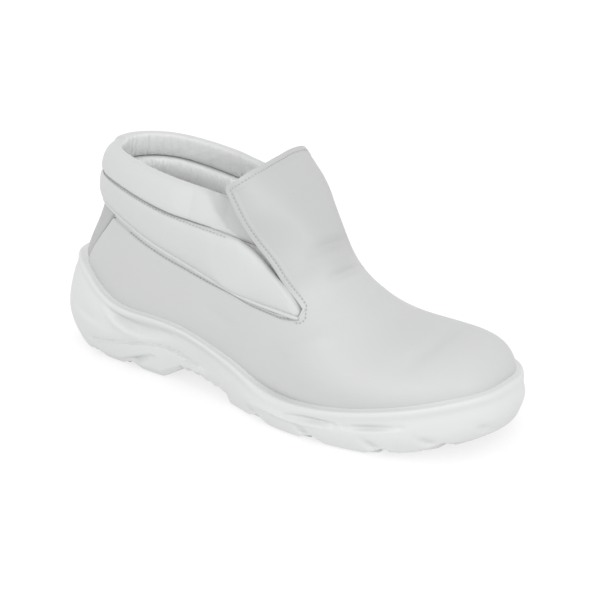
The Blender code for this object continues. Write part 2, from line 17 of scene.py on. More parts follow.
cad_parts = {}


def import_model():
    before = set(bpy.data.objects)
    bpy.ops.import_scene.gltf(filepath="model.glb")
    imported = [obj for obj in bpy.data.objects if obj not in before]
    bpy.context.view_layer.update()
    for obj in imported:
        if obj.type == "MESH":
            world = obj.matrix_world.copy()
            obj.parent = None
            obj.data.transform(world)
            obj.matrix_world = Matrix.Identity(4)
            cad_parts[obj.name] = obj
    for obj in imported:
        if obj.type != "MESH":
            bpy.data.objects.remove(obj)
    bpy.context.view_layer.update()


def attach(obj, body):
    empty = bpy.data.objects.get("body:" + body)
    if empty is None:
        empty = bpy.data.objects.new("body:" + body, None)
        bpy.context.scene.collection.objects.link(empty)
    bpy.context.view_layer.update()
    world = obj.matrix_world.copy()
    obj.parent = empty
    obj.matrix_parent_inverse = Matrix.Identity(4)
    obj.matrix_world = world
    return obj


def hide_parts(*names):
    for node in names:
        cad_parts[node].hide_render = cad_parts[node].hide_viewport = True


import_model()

bl_info = {
    "name": "Slip-on safety boot",
    "version": (1, 0, 0),
    "blender": (4, 5, 0),
    "location": "View3D > Sidebar > Boot",
    "description": "Builds the pieces of a white slip-on safety boot and its studio",
    "category": "Object",
}

# A millimetre in metres, and the gap between neighbouring pieces
MM = 0.001
GAP = 0.3

# Halvings of a search, samples along a searched line, length that counts as none, and distances at which
# points merge, in metres
HALVINGS = 36
LINE_SAMPLES = 240
NO_LENGTH = 1e-12
MERGE = 0.00002
SLIVER = 0.000005

# A line through the middle of the boot: its ends and its height
CORE_ENDS = (-90.0, 110.0)
CORE_HEIGHT = 50.0

# Sole outline, seen from above, and how many points are worked out along its heel, its side and its toe
HEEL_BACK = -152.0
TOE_TIP = 152.0
HEEL_WIDEST_X = -98.0
HEEL_HALF_WIDTH = 40.0
WAIST_X = {"outer": -40.0, "inner": -38.0}
WAIST_HALF_WIDTH = {"outer": 39.0, "inner": 33.0}
BALL_X = {"outer": 44.0, "inner": 72.0}
BALL_HALF_WIDTH = {"outer": 55.6, "inner": 53.6}
HEEL_ROUNDNESS = 2.3
TOE_ROUNDNESS = {"outer": 2.25, "inner": 2.5}
TOE_APEX_Y = 9.0
SIDE_SIGN = {"outer": -1.0, "inner": 1.0}
OUTLINE_SAMPLES = {"heel": 160, "side": 300, "toe": 320}

# Upper: each section runs from a point on its front ridge to a point under the foot or at the back.
# Columns: name, top x and z, back x and z, middle y, outer and inner half width, share of the way at
# which it is widest, roundness of its front and of its back.
FORM_SECTIONS = (
    ("toe tip", 145.0, 34.0, 145.0, 25.0, 9.0, 0.0, 0.0, 0.70, 2.2, 5.0),
    ("toe front", 142.5, 45.0, 142.5, 24.0, 9.0, 20.0, 18.0, 0.70, 2.2, 5.0),
    ("toe cap", 130.0, 54.5, 129.0, 21.0, 7.0, 36.0, 34.5, 0.70, 2.3, 5.0),
    ("cap edge", 107.0, 58.5, 105.0, 17.0, 4.0, 45.5, 43.5, 0.70, 2.3, 5.0),
    ("ball", 81.0, 60.5, 74.0, 14.0, 0.5, 49.5, 48.0, 0.70, 2.3, 5.0),
    ("vamp", 62.0, 71.0, 30.0, 14.0, -1.0, 48.0, 41.0, 0.66, 2.3, 5.0),
    ("throat", 49.5, 86.0, -18.0, 18.0, -1.0, 40.5, 36.0, 0.60, 2.4, 5.0),
    ("waist", 42.0, 98.0, -74.0, 21.0, -1.0, 38.0, 36.0, 0.52, 2.7, 4.5),
    ("heel seat", 36.0, 108.0, -126.0, 24.0, 0.0, 37.5, 36.5, 0.48, 2.9, 3.4),
    ("heel", 29.5, 116.5, -142.0, 51.0, 0.0, 37.5, 37.0, 0.44, 3.2, 2.4),
    ("ankle", 22.0, 124.5, -130.5, 82.5, 0.0, 37.0, 37.0, 0.40, 3.6, 2.2),
    ("collar", 14.0, 132.0, -122.5, 105.0, 0.0, 36.5, 36.5, 0.38, 3.9, 2.2),
    ("rim", 4.5, 140.0, -119.0, 132.0, 0.0, 36.5, 36.5, 0.36, 4.2, 2.2),
    ("over the rim", -5.0, 148.0, -117.0, 150.0, 0.0, 36.5, 36.5, 0.36, 4.2, 2.2),
)

# How many sections reach under the foot, the share from which the collar's lines are looked for, and the
# turns over which such a line goes from its outer course to its inner one
FOOT_SECTIONS = 9
COLLAR_FROM = 0.35
COLLAR_BLEND = (1.2, 2.4)

# Lines of the upper and the collar, seen from the side
TOPLINE = ((-130.0, 99.5), (-103.0, 98.0), (-73.0, 90.0), (-36.0, 79.0), (-12.0, 72.0), (11.0, 68.0),
           (40.0, 65.0))
SEAM = ((-130.0, 116.5), (-98.0, 116.5), (-72.0, 112.8), (-47.0, 109.0), (-23.0, 106.0), (0.0, 101.5),
        (25.0, 95.0))
RIM = ((-130.0, 131.5), (-95.0, 131.5), (-75.0, 130.0), (-45.0, 127.5), (-20.0, 125.0), (10.0, 121.5))
SEAM_INNER = ((-130.0, 118.5), (-98.0, 118.5), (-72.0, 114.3), (-47.0, 109.6), (-23.0, 105.8), (0.0, 101.0),
              (25.0, 94.5))
RIM_INNER = ((-130.0, 135.2), (-95.0, 134.8), (-75.0, 132.4), (-45.0, 127.8), (-20.0, 123.6), (10.0, 119.6))

# Notch at the flap's foot, the turns over which the top line eases into it and the seam sets in beside it,
# the flap's side edge, the radius of its corners, and the turns between which its edge is looked for
NOTCH = (36.5, 66.6)
NOTCH_EASE = 0.05
NOTCH_FADE = 0.03
FLAP_EDGE = (NOTCH, (39.0, 69.0), (28.5, 78.3), (18.7, 88.0), (7.5, 99.5), (-3.0, 114.0), (-12.5, 130.5),
             (-13.8, 135.0))
FLAP_CORNER = 3.0
FLAP_SEARCH = (0.1, 1.35)

# Flap's top edge: turn and height. The inner corner lies further forward than the outer one: the share by
# which the flap is narrower there, and how sharply that sets in towards the top.
FLAP_TOP = ((-0.66, 130.5), (-0.52, 137.4), (-0.46, 141.2), (-0.4, 143.2), (-0.3, 144.3), (-0.15, 144.3),
            (0.0, 144.2), (0.2, 144.1), (0.3, 143.9), (0.4, 143.3), (0.45, 142.5), (0.5, 141.0),
            (0.55, 138.6), (0.6, 135.6), (0.66, 132.0))
FLAP_REACH = 1.4
INNER_NARROWING = 0.16
INNER_POWER = 4

# Points worked out along the top line, along the flap's top edge and along its side edge
TOPLINE_SAMPLES = 400
FLAP_TOP_SAMPLES = 561
FLAP_EDGE_SAMPLES = 200

# Soft folds of the leather, the steps along each, and how soon they fade at their ends.
# Columns: name, height, half width, points that it runs through.
FOLDS = (
    ("instep hollow", -2.4, 30.0,
     ((16.0, 0.0, 130.0), (28.0, 0.0, 117.0), (40.0, 0.0, 100.0), (50.0, 0.0, 86.0), (62.0, 0.0, 72.0))),
    ("instep trough", -2.1, 3.8,
     ((33.0, -23.0, 98.0), (39.5, -10.8, 100.9), (41.2, 3.8, 99.3), (39.0, 15.0, 95.8))),
    ("instep swell", 2.1, 6.0,
     ((38.5, -20.0, 94.0), (43.8, -7.3, 94.0), (44.7, 0.2, 93.0), (44.0, 9.0, 91.0))),
    ("throat trough", -2.0, 2.4,
     ((44.5, -20.0, 84.0), (49.0, -8.9, 86.0), (50.1, 7.1, 84.0), (47.5, 17.0, 80.6))),
    ("vamp ridge", 0.7, 5.0,
     ((29.6, -45.5, 43.5), (42.2, -44.7, 51.7), (53.1, -40.6, 57.8), (59.5, -35.4, 60.8))),
    ("cap edge", -1.3, 5.0,
     ((99.0, -36.0, 46.0), (107.0, -18.0, 56.0), (108.4, 6.8, 58.3), (101.0, 34.0, 52.0))),
    ("cap swell", 1.4, 20.0,
     ((124.0, -28.0, 44.0), (130.0, -10.0, 52.0), (131.0, 10.0, 53.0), (124.0, 32.0, 48.0))),
    ("quarter trough", -0.4, 4.0, ((-38.0, -39.0, 62.0), (-20.0, -40.0, 54.0), (0.0, -42.0, 50.0))),
)
FOLD_STEPS = 25
FOLD_ENDS = 0.7

# Slow waves of the leather: their height, and the height above the floor over which they set in.
# Columns: lengths along x, y and z, and start.
WAVE_HEIGHT = 0.22
WAVE_SPAN = (30.0, 45.0)
WAVES = (
    (17.0, 23.0, math.inf, 0.7),
    (-41.0, math.inf, 15.0, 1.9),
)

# Heel panel, seen from the back: half width and height at its top and its foot, depth under the quarters,
# wall, painted shade over the whole panel, painted shadow along its edges and its width, grid, lowest
# section, and turns between which its edge is found
PANEL_TOP = (28.5, 96.5)
PANEL_LOW = (22.0, 52.0)
PANEL_DEPTH = 1.0
PANEL_WALL = 1.4
PANEL_SHADE = 0.4
PANEL_EDGE_SHADOW = 1.0
PANEL_EDGE_SHADOW_WIDTH = 0.03
PANEL_ROWS = 46
PANEL_COLUMNS = 80
PANEL_SECTION = 9
PANEL_SEARCH = (1.15, 1.98)

# The window for the panel lies behind this x. Its edge is cut and lapped by these margins, in millimetres
# and in turns.
WINDOW_X = -80.0
WINDOW_MARGIN = 0.05
PANEL_LAP = 0.001

# Below the panel the quarters' back edge goes over to a fixed turn: the sections and the turn that steer it
LOW_BACK_TURN = 1.55
BACK_BLEND = (6, 8)
BACK_PROBE = 1.7

# Sewn groove under the quarters' top edge: distance below it, half width, depth and the painted shade in it
SEAM_BELOW = 2.5
SEAM_HALF_WIDTH = 1.0
SEAM_DEPTH = 0.6
SEAM_PAINTED_SHADE = 0.35

# Flap's folded hem: its width, its step, the height over which it sets in, and the stitches' groove: depth
# and half width
HEM_WIDTH = 6.0
HEM_STEP = 1.2
HEM_FADE = 6.0
STITCH_GROOVE = (0.35, 0.6)

# Height over the underside up to which the upper is open
OPEN_UNDER = 3.0

# Painted shade on the flap, and the share of the form over which it sets in
FLAP_SHADE = 0.2
FLAP_SHADE_SPAN = 0.12

# Rows and columns of the upper's grids, the share of the rows that crowd at the edge, and how much the
# front's columns and the flap's rows crowd
BASE_ROWS = 96
EDGE_ROWS = 22
EDGE_BAND = 0.035
FLAP_ROWS = 76
FRONT_COLUMNS = 84
SIDE_COLUMNS = 96
BACK_COLUMNS = 16
FRONT_CROWD = 0.7
FLAP_CROWD = 1.35

# Piping: radius, how far its middle stands out of the upper, angle and length of its ends, and grid
PIPING_RADIUS = 1.3
PIPING_OUT = 0.1
PIPING_END = 1.015
PIPING_TAPER = 5.0
PIPING_STATIONS = 320
PIPING_POINTS = 15

# Padded rolls: depth of the middle at the two edges, half thickness, how much fuller and more upright they
# are at the back, front ends, squareness, length of the rounded ends, start of their wrinkles' random draws,
# grid, and how tightly they are filled
ROLL_MIDDLE = -2.9
ROLL_CREST = -7.5
LOWER_ROLL_HALF = 6.1
UPPER_ROLL_HALF = 6.4
BACK_FULLNESS = 1.3
BACK_LEAN = 3.0
LOWER_ROLL_END = 0.905
UPPER_ROLL_END = 0.95
ROLL_SQUARENESS = 0.62
ROLL_ROUND_ENDS = {"lower": 4.5, "upper": 9.0}
ROLL_SEEDS = {"lower": 3, "upper": 8}
ROLL_STATIONS = 640
ROLL_POINTS = 49

# Lower roll's front, seen from the side: the roll stays below this line and thins towards the notch
ROLL_FRONT = ((-32.0, 126.5), (-14.0, 109.0), (-6.0, 103.0), (2.5, 98.2), (10.0, 92.6), (18.0, 86.6),
              (26.5, 81.6), (33.0, 77.4), (39.0, 73.0))
ROLL_TIP = ((26.0, 55.0), (35.6, 65.8), (38.4, 70.0), (46.0, 82.0))

# Half thickness against a roll's height, share of it inside, rise of the thin tip, lap over the piping
ROLL_FULLNESS = 0.42
ROLL_INSIDE = 0.55
ROLL_TIP_RISE = 2.2
ROLL_LAP = 1.5

# Seam between the rolls: half its gap, and how far and how sharply their edges stand out there
SEAM_GAP = 0.1
SEAM_RISE = 2.6
SEAM_POWER = 4

# Its stitches: height over the form, share of the edges' rise, drop below the seam, angle of their front end
SEAM_STITCH = 0.7
SEAM_STITCH_RISE = 0.8
SEAM_STITCH_DROP = 0.5
SEAM_STITCH_FROM = 1.3

# Gathered leather inside a roll: how sharply it sets in, and its share away from the seam and at it
GATHER_EDGE = 1.6
GATHER = (0.25, 1.0)

# Wrinkles of gathered leather. Columns: length and weight.
WRINKLES = (
    (8.3, 0.3),
    (5.1, 0.4),
    (3.7, 0.3),
)
WRINKLE_SHARPNESS = 1.5
# Painted shade in the wrinkles' creases, for each millimetre of their depth
WRINKLE_PAINTED_SHADE = 0.35

# Slow change of the wrinkles' place, and of their depth: middle and reach, and length against their own
DRIFT = 1.3
DRIFT_LENGTH = 3.7
SWELL = (0.55, 0.45)
SWELL_LENGTH = 5.3

# Upper roll beside the flap: how far its outside is pressed in, the angles over which that fades, and how
# many times less its inside swells
FLAP_TUCK = 13.0
FLAP_TUCK_SPAN = (1.22, 1.72)
PRESSED_WALL = 4.0

# Painted shadow of the flap on the upper roll beside it: share of the roll's height and angle at which
# that ends, softness and strength
FLAP_SHADOW_EDGE = ((0.0, 1.2), (0.1, 1.37), (0.5, 1.49), (1.0, 1.54))
FLAP_SHADOW_SOFTNESS = 0.05
FLAP_SHADOW_STRENGTH = 0.28

# Stitches: the thread's height against its width, faces round and along a stitch, thicker thread on the
# quarters, gap to the heel panel in turns, and the path round the notch, seen from the side
STITCH_FLATNESS = 0.8
STITCH_FACES = (8, 6)
QUARTER_THREAD = 1.3
PANEL_STITCH_GAP = 0.06
NOTCH_STITCHES = ((35.0, 63.0), (38.6, 63.6), (40.8, 65.9))

# Share of the flap's height at which its stitches start, and points worked out along each of their paths
FLAP_STITCH_FROM = 0.02
STITCH_SAMPLES = {"notch": 9, "flap side": 90, "flap top": 60, "collar": 400}

# Rolls under the flap: the angles between which they dive, and how deep
ROLL_DIVE_SPAN = (1.0, 0.92)
ROLL_DIVE = 4.0

# Gussets: angles of the two ends, depth of the outer face, wall, distance below the seam, and grid
GUSSET_SPAN = (0.82, 1.2)
GUSSET_DEPTH = 3.6
GUSSET_WALL = 1.4
GUSSET_UNDER_SEAM = 1.0
GUSSET_ROWS = 60
GUSSET_COLUMNS = 24

# Sole by station along the outline.
# Columns: x, height of the bottom edge, its inset, height of the widest place, height of the top edge.
SOLE_SECTIONS = (
    (-152.0, 5.0, 7.0, 25.0, 58.6),
    (-147.0, 3.2, 7.0, 25.0, 59.6),
    (-140.0, 1.8, 7.0, 25.0, 58.8),
    (-130.0, 0.8, 7.0, 25.0, 55.8),
    (-121.0, 0.3, 6.6, 24.0, 52.2),
    (-112.0, 0.0, 6.4, 24.0, 47.6),
    (-103.0, 0.0, 6.0, 23.0, 43.4),
    (-90.0, 0.0, 5.2, 22.0, 40.4),
    (-75.0, 0.0, 4.0, 22.0, 40.2),
    (-61.0, 0.0, 3.0, 21.0, 40.3),
    (-46.0, 9.3, 2.5, 21.0, 39.2),
    (-34.0, 8.7, 2.0, 19.0, 36.6),
    (-24.0, 6.5, 2.0, 17.0, 33.6),
    (-11.5, 5.2, 2.0, 14.0, 29.6),
    (-7.5, 0.0, 2.0, 13.0, 28.4),
    (10.0, 0.0, 2.0, 11.0, 22.0),
    (28.0, 0.0, 2.0, 10.0, 19.2),
    (48.0, 0.0, 2.0, 10.0, 20.2),
    (74.0, 0.0, 2.2, 11.0, 23.9),
    (92.0, 0.0, 2.6, 12.5, 27.4),
    (114.0, 4.0, 3.0, 16.0, 32.2),
    (131.0, 8.0, 3.2, 19.5, 36.2),
    (146.0, 11.5, 3.5, 23.0, 38.2),
    (152.0, 12.5, 3.5, 24.0, 38.2),
)

# The top edge is lower at the toe's inner side: by how much, and where that sets in along x and y
INNER_TOE_DROP = 3.0
INNER_TOE_X = (118.0, 138.0)
INNER_TOE_Y = (0.0, 30.0)

# Lip against the upper: width, rounding, rows, how far it goes into the leather, fillet, and where it
# follows the heel panel inwards
LIP = 3.0
LIP_ROUND = 1.2
LIP_ROWS = 5
LIP_SEAL = 0.3
LIP_FILLET = 0.9
HEEL_LIP = (-105.0, -120.0)

# Rows and columns of the sole's grids, the height from which rays look up for the upper, stations over which
# the lip is evened out, shape of the side below and above its widest place, and the angle of a sharp edge
SOLE_STATIONS = 290
SIDE_ROWS = 66
TREAD_COLUMNS = 64
CUP_COLUMNS = 24
UNDER_FLOOR = -50.0
EVENED_STATIONS = 11
UNDERCUT_POWER = 1.8
SHOULDER_POWER = 1.6
SHARP_ANGLE = 38.0

# Bead along the sole's top edge and the groove under it: distance below the edge, half height, height out
BEAD = (2.0, 2.6, 0.8)
BEAD_GROOVE = (6.8, 3.0, -0.3)

# The side's relief fades out this far below the top edge, over this height, and over this share at its foot
RELIEF_BELOW = 3.5
RELIEF_FADE = 5.0
RELIEF_FOOT = 0.125

# Band above the lugs, seen from the side: below this line the sole stands proud. How far, the height of the
# step and the length over which it fades at both ends.
LUG_BAND = ((-122.0, 11.0), (-114.0, 12.6), (-100.0, 15.6), (-86.0, 18.6), (-73.0, 21.2), (-61.0, 23.0),
            (-51.0, 23.2), (-42.0, 20.4), (-34.0, 17.8), (-26.0, 16.0))
LUG_BAND_OUT = 2.2
LUG_BAND_STEP = 0.8
LUG_BAND_FADE = 8.0

# Hollows in the sole's side, seen from the side, and ridges, whose depth is negative.
# Columns: name, depth, half height above and below its line, line that it follows.
SIDE_RELIEF = (
    ("heel scoop", 3.4, 5.5, 3.2,
     ((-108.0, 50.0), (-103.7, 44.0), (-98.0, 38.0), (-92.0, 33.5), (-85.0, 30.8), (-76.0, 29.4),
      (-66.0, 29.8), (-54.0, 32.5))),
    ("heel ridge", -1.3, 2.4, 3.4,
     ((-114.0, 50.0), (-106.5, 41.5), (-101.0, 34.5), (-95.0, 29.6), (-87.0, 26.6), (-76.0, 25.4),
      (-64.0, 26.4))),
    ("heel crease", 0.9, 4.5, 2.2, ((-131.0, 31.0), (-119.0, 27.6), (-105.0, 26.0))),
    ("lug scoop", 3.4, 1.2, 3.0, ((-93.0, 3.5), (-82.0, 8.0), (-67.0, 15.0))),
    ("forefoot ridge", -1.2, 1.2, 1.2, ((12.0, 9.4), (27.0, 10.9), (38.0, 10.6), (50.0, 10.4), (68.0, 12.4))),
    ("forefoot leaf", 2.8, 1.2, 2.4, ((39.0, 12.8), (51.0, 14.7), (60.0, 15.0), (70.0, 15.5))),
    ("forefoot slot", 2.3, 2.0, 1.1, ((76.0, 15.0), (86.0, 16.3), (95.0, 17.8), (108.0, 20.4))),
    ("first lug scoop", 1.6, 2.4, 1.8, ((9.0, 6.0), (18.0, 0.0))),
    ("second lug scoop", 1.8, 2.4, 1.8, ((46.0, 7.5), (56.0, 0.0))),
    ("third lug scoop", 1.8, 2.4, 1.8, ((87.0, 9.5), (97.0, 3.0))),
    ("fourth lug scoop", 1.7, 2.4, 1.8, ((116.0, 15.0), (127.0, 9.0))),
    ("toe scoop", 1.4, 2.0, 1.6, ((142.5, 22.0), (147.5, 15.0))),
)
HOLLOW_END = 0.10

# Tread grooves, across the sole and along it.
# Columns: middle x and y, length along x and y, depth, turn in degrees.
GROOVES = (
    (-117.0, 0.0, 4.0, 150.0, 4.5, 4.0),
    (-89.0, 0.0, 8.0, 150.0, 5.0, 6.0),
    (28.0, 0.0, 5.0, 150.0, 4.0, -12.0),
    (47.5, 0.0, 4.0, 70.0, 3.0, -12.0),
    (67.0, 0.0, 5.0, 150.0, 4.0, -12.0),
    (87.5, 0.0, 4.0, 66.0, 3.0, -13.0),
    (108.5, 0.0, 5.0, 150.0, 3.0, -14.0),
    (136.5, 0.0, 5.0, 150.0, 2.4, -16.0),
    (-94.0, 0.0, 74.0, 12.0, 3.5, 0.0),
    (58.0, 2.0, 116.0, 7.0, 3.0, 4.0),
)
GROOVE_WALL = 0.7

# Where a groove leaves the sole's edge it is a shallow wedge: its depth, half width and reach inwards, and
# the rise of the tread along the edge
NOTCH_DEPTH = 3.8
NOTCH_HALF_WIDTH = 8.0
NOTCH_REACH = 5.0
EDGE_RISE = 1.1

# Ribs across the arch: where they start and end, pitch and height
ARCH_RIBS = (-46.0, -9.0)
ARCH_RIB_PITCH = 7.4
ARCH_RIB_HEIGHT = 1.7

# Insole: height of its top over the form's underside, wall, ends, middle line, rise of its rim and grid
INSOLE_TOP = 6.0
INSOLE_WALL = 4.0
INSOLE_ENDS = (-118.0, 134.0)
INSOLE_MIDDLE = ((-60.0, 120.0), (0.0, 6.0))
INSOLE_RIM = 1.2
INSOLE_RIM_POWER = 4
INSOLE_STATIONS = 130
INSOLE_COLUMNS = 40

# Rounding of a wall's rims: width and the angle from which an edge is rounded
RIM_WIDTH = 0.5
RIM_ANGLE = 55.0

# Finishes.
# Columns: name, colour, spread of its tone, roughness, effect, the effect's scales, strength and depth of
# its bump.
FINISHES = (
    ("smooth leather", "leather", 0.02, 0.5, "leather grain", (1100.0, 320.0, 26.0), 0.35, 0.05),
    ("soft leather", "soft_leather", 0.02, 0.46, "leather grain", (900.0, 210.0, 30.0), 0.4, 0.06),
    ("moulded sole", "sole", 0.015, 0.44, "leather grain", (2200.0, 700.0, 18.0), 0.2, 0.03),
    ("woven elastic", "elastic", 0.25, 0.8, "elastic weave", (420.0, 700.0), 0.6, 0.25),
    ("lining felt", "lining", 0.05, 0.85, "leather grain", (1500.0, 900.0, 60.0), 0.6, 0.12),
    ("sewing thread", "thread", 0.06, 0.7, "leather grain", (4000.0, 2500.0, 300.0), 0.3, 0.05),
)
GLOSS_SPREAD = 0.06

# Grain: width of the valleys between its cells, the creases' height against theirs, and how finely creases
# and patches are broken up. Weave: the cross threads' height against the ribs'.
GRAIN_VALLEY = 0.22
GRAIN_CREASE = 0.6
GRAIN_DETAIL = {"Creases": 4.0, "Patches": 3.0}
WEAVE_THREAD = 0.35

# Share of a finish's own colour that is left where painted shade lies
PAINTED_SHADE_TONE = 0.5

# How much paler the collar's rolls are made inside the boot by painted light
PAINTED_LIGHT_INSIDE = 2.05

# Fine creases of gathered leather: scale across and along a roll, height against the grain's, bend, and how
# finely they are broken up
CREASE_SCALE = (70.0, 750.0, 1.0)
CREASE_HEIGHT = 60.0
CREASE_BEND = 0.4
CREASE_DETAIL = 3.0

# Camera: azimuth and height of the view in degrees, distance, pixels for a millimetre at the target,
# pixel of the target in the picture, the picture's width, the sensor's, and the nearest place in view in
# metres
VIEW_AZIMUTH = 33.0
VIEW_HEIGHT = 24.0
VIEW_DISTANCE = 900.0
VIEW_TARGET = (0.0, 0.0, 65.0)
VIEW_SCALE = 1.689
VIEW_CENTRE = (280.0, 282.0)
PICTURE = 600.0
SENSOR = 36.0
VIEW_NEAREST = 0.05

# Studio: half the floor's side and its grid, its roughness and glow, the sky's strength.
# Columns of the lights: name, place, side and power.
FLOOR_SIZE = 6.0
FLOOR_GRID = 8
FLOOR_ROUGHNESS = 0.9
FLOOR_GLOW = 0.64
SKY = 1.25
LIGHTS = (
    ("key light", (1.8, -0.52, 0.7), 0.12, 5.0),
    ("fill light", (0.5, -1.75, 0.9), 1.2, 11.0),
)
WHITE = (1.0, 1.0, 1.0, 1.0)


def length_property(name, description, default, least=0.0):
    """Property that holds a length, given in millimetres."""
    return FloatProperty(
        name=name, description=description, default=default * MM, min=least * MM, unit="LENGTH")


def colour_property(name, description, default):
    """Property that holds a colour."""
    return FloatVectorProperty(
        name=name, description=description, default=default, min=0.0, max=1.0, size=3, subtype="COLOR")


class BootSizes(bpy.types.PropertyGroup):
    """Sizes that a user may change."""

    wall: length_property("Leather wall", "Thickness of the upper's wall", 2.2, 0.5)
    hem: length_property("Hem", "How far the folded hem stands out along the flap's edges", 0.35)
    stitch_inset: length_property("Stitch inset", "Distance of the flap's stitches from its edge", 3.0, 1.0)
    stitch_pitch: length_property("Stitch pitch", "Distance from one stitch to the next", 2.3, 1.0)
    stitch_length: length_property("Stitch length", "Length of one stitch", 1.2, 0.5)
    thread: length_property("Thread", "Radius of the thread", 0.36, 0.1)
    wrinkle: length_property("Wrinkle", "Height of the wrinkles on the collar's inside", 2.2)


class BootColours(bpy.types.PropertyGroup):
    """Colours that a user may change."""

    leather: colour_property("Leather", "Smooth leather of vamp, quarters and flap", (0.437, 0.439, 0.442))
    soft_leather: colour_property("Soft leather", "Leather over the collar's padding", (0.465, 0.469, 0.469))
    sole: colour_property("Sole", "Moulded sole", (0.515, 0.52, 0.52))
    elastic: colour_property("Elastic", "Webbing of the gussets", (0.4, 0.4, 0.405))
    lining: colour_property("Lining", "Lining and footbed", (0.85, 0.85, 0.84))
    # The thread is coloured dark grey as painted shade of its needle holes; the thread itself is pale
    thread: colour_property("Thread", "Sewing thread", (0.32, 0.32, 0.325))
    floor: colour_property("Floor", "Studio floor", (0.3, 0.3, 0.3))


# Form of the upper

def spline(knots, values, at):
    """Natural cubic spline through rows of values."""
    knots, values = np.asarray(knots, float), np.asarray(values, float)
    step = np.diff(knots)
    count = len(knots)
    matrix = np.eye(count)
    right = np.zeros((count, values.shape[1]))
    slope = np.diff(values, axis=0) / step[:, None]
    for i in range(1, count - 1):
        matrix[i, i - 1 : i + 2] = step[i - 1], 2 * (step[i - 1] + step[i]), step[i]
        right[i] = 6 * (slope[i] - slope[i - 1])
    bend = np.linalg.solve(matrix, right)
    at = np.clip(np.asarray(at, float), knots[0], knots[-1])
    i = np.clip(np.searchsorted(knots, at, side="right") - 1, 0, count - 2)
    a = ((knots[i + 1] - at) / step[i])[..., None]
    b = 1 - a
    curve = ((a**3 - a) * bend[i] + (b**3 - b) * bend[i + 1]) * (step[i] ** 2)[..., None] / 6
    return a * values[i] + b * values[i + 1] + curve


def line_height(line, x):
    """Height of a side-view line at x."""
    table = np.array(line)
    return spline(table[:, 0], table[:, 1:], x)[..., 0]


def line_points(line, count):
    """Points along a line, evenly spread over its own points."""
    return spline(np.arange(len(line)), np.array(line), np.linspace(0, len(line) - 1, count))


def path_lengths(points):
    """Length of the way along a row of points, up to each of them."""
    return np.concatenate([[0], np.cumsum(np.linalg.norm(np.diff(points, axis=0), axis=1))])


FORM_VALUES = np.array([row[1:] for row in FORM_SECTIONS])
KNOTS = path_lengths(FORM_VALUES[:, :7])
KNOTS /= KNOTS[-1]


def halve(before, low, high):
    """Place between low and high up to which a test holds."""
    for _ in range(HALVINGS):
        middle = (low + high) / 2
        held = before(middle)
        low = np.where(held, middle, low)
        high = np.where(held, high, middle)
    return (low + high) / 2


def soft_step(value):
    """Smooth rise from 0 to 1."""
    value = np.clip(value, 0, 1)
    return value * value * (3 - 2 * value)


def soft_between(value, start, end):
    """Smooth rise from 0 at start to 1 at end."""
    return soft_step((value - start) / (end - start))


def bump_line(distance, half_width):
    """A soft ridge across a distance."""
    return np.exp(-((distance / half_width) ** 2))


def unit(vectors):
    """Vectors of length 1."""
    return vectors / np.linalg.norm(vectors, axis=-1, keepdims=True)


def angle_of(turn):
    """Angle of a turn. It moves slowly near each quarter, where square sections have their flat sides."""
    quarter = np.floor(turn)
    part = turn - quarter
    rise = part**3 / (part**3 + (1 - part) ** 3)
    return (quarter + rise) * math.pi / 2


def turn_of(angle):
    """Turn of an angle."""
    quarters = np.asarray(angle, float) / (math.pi / 2)
    whole = np.floor(quarters)
    root = np.cbrt(quarters - whole)
    rest = np.cbrt(1 - quarters + whole)
    return whole + root / (root + rest)


def form_surface(share, turn):
    """Upper's outer surface: share runs from the toe's tip to over the rim, turn goes round a section."""
    share, turn = np.broadcast_arrays(np.asarray(share, float), np.asarray(turn, float))
    row = np.moveaxis(spline(KNOTS, FORM_VALUES, share), -1, 0)
    top_x, top_z, back_x, back_z, mid, outer, inner, widest, top_n, back_n = row
    angle = angle_of(turn)
    cosine, sine = np.cos(angle), np.sin(angle)
    power = 2 / np.where(cosine > 0, top_n, back_n)
    reach = np.abs(cosine) ** power
    along = np.where(cosine > 0, widest * (1 - reach), widest + (1 - widest) * reach)
    half = np.where(sine > 0, -np.maximum(outer, 0), np.maximum(inner, 0))
    y = mid + half * np.abs(sine) ** power
    return np.stack([top_x + (back_x - top_x) * along, y, top_z + (back_z - top_z) * along], axis=-1)


def form_normal(share, turn):
    """Outward direction of the upper's surface."""
    share, turn = np.broadcast_arrays(np.asarray(share, float), np.asarray(turn, float))
    step = 0.004
    run = form_surface(share + step, turn) - form_surface(share - step, turn)
    swing = form_surface(share, turn + step) - form_surface(share, turn - step)
    normal = np.cross(run, swing)
    length = np.linalg.norm(normal, axis=-1, keepdims=True)
    return np.where(length > NO_LENGTH, normal / np.maximum(length, NO_LENGTH), (1.0, 0.0, 0.0))


def form_points(share, turn, offset=0.0):
    """Points of the upper's surface, moved outwards."""
    share, turn, offset = np.broadcast_arrays(share, turn, offset)
    return form_surface(share, turn) + form_normal(share, turn) * offset[..., None]


def share_where(height_at, turn):
    """Share at which the form's surface, at each turn, reaches the height that holds there."""
    def before(share):
        point = form_surface(share, turn)
        return point[..., 2] < height_at(point)

    return halve(before, np.full(np.shape(turn), COLLAR_FROM), np.ones(np.shape(turn)))


def share_at(line, turn):
    """Share at which the form's surface, at each turn, crosses a side-view line."""
    return share_where(lambda point: line_height(line, point[..., 0]), turn)


def collar_share(outer_line, inner_line, rise, turn):
    """Share of a collar line, moved up: one line holds on the outer side, another at the back and inside."""
    weight = soft_between(turn, *COLLAR_BLEND)

    def height_at(point):
        x = point[..., 0]
        return line_height(outer_line, x) * (1 - weight) + line_height(inner_line, x) * weight + rise

    return share_where(height_at, turn)


def shifted(line, rise):
    """A side-view line, moved up."""
    return tuple((x, z + rise) for x, z in line)


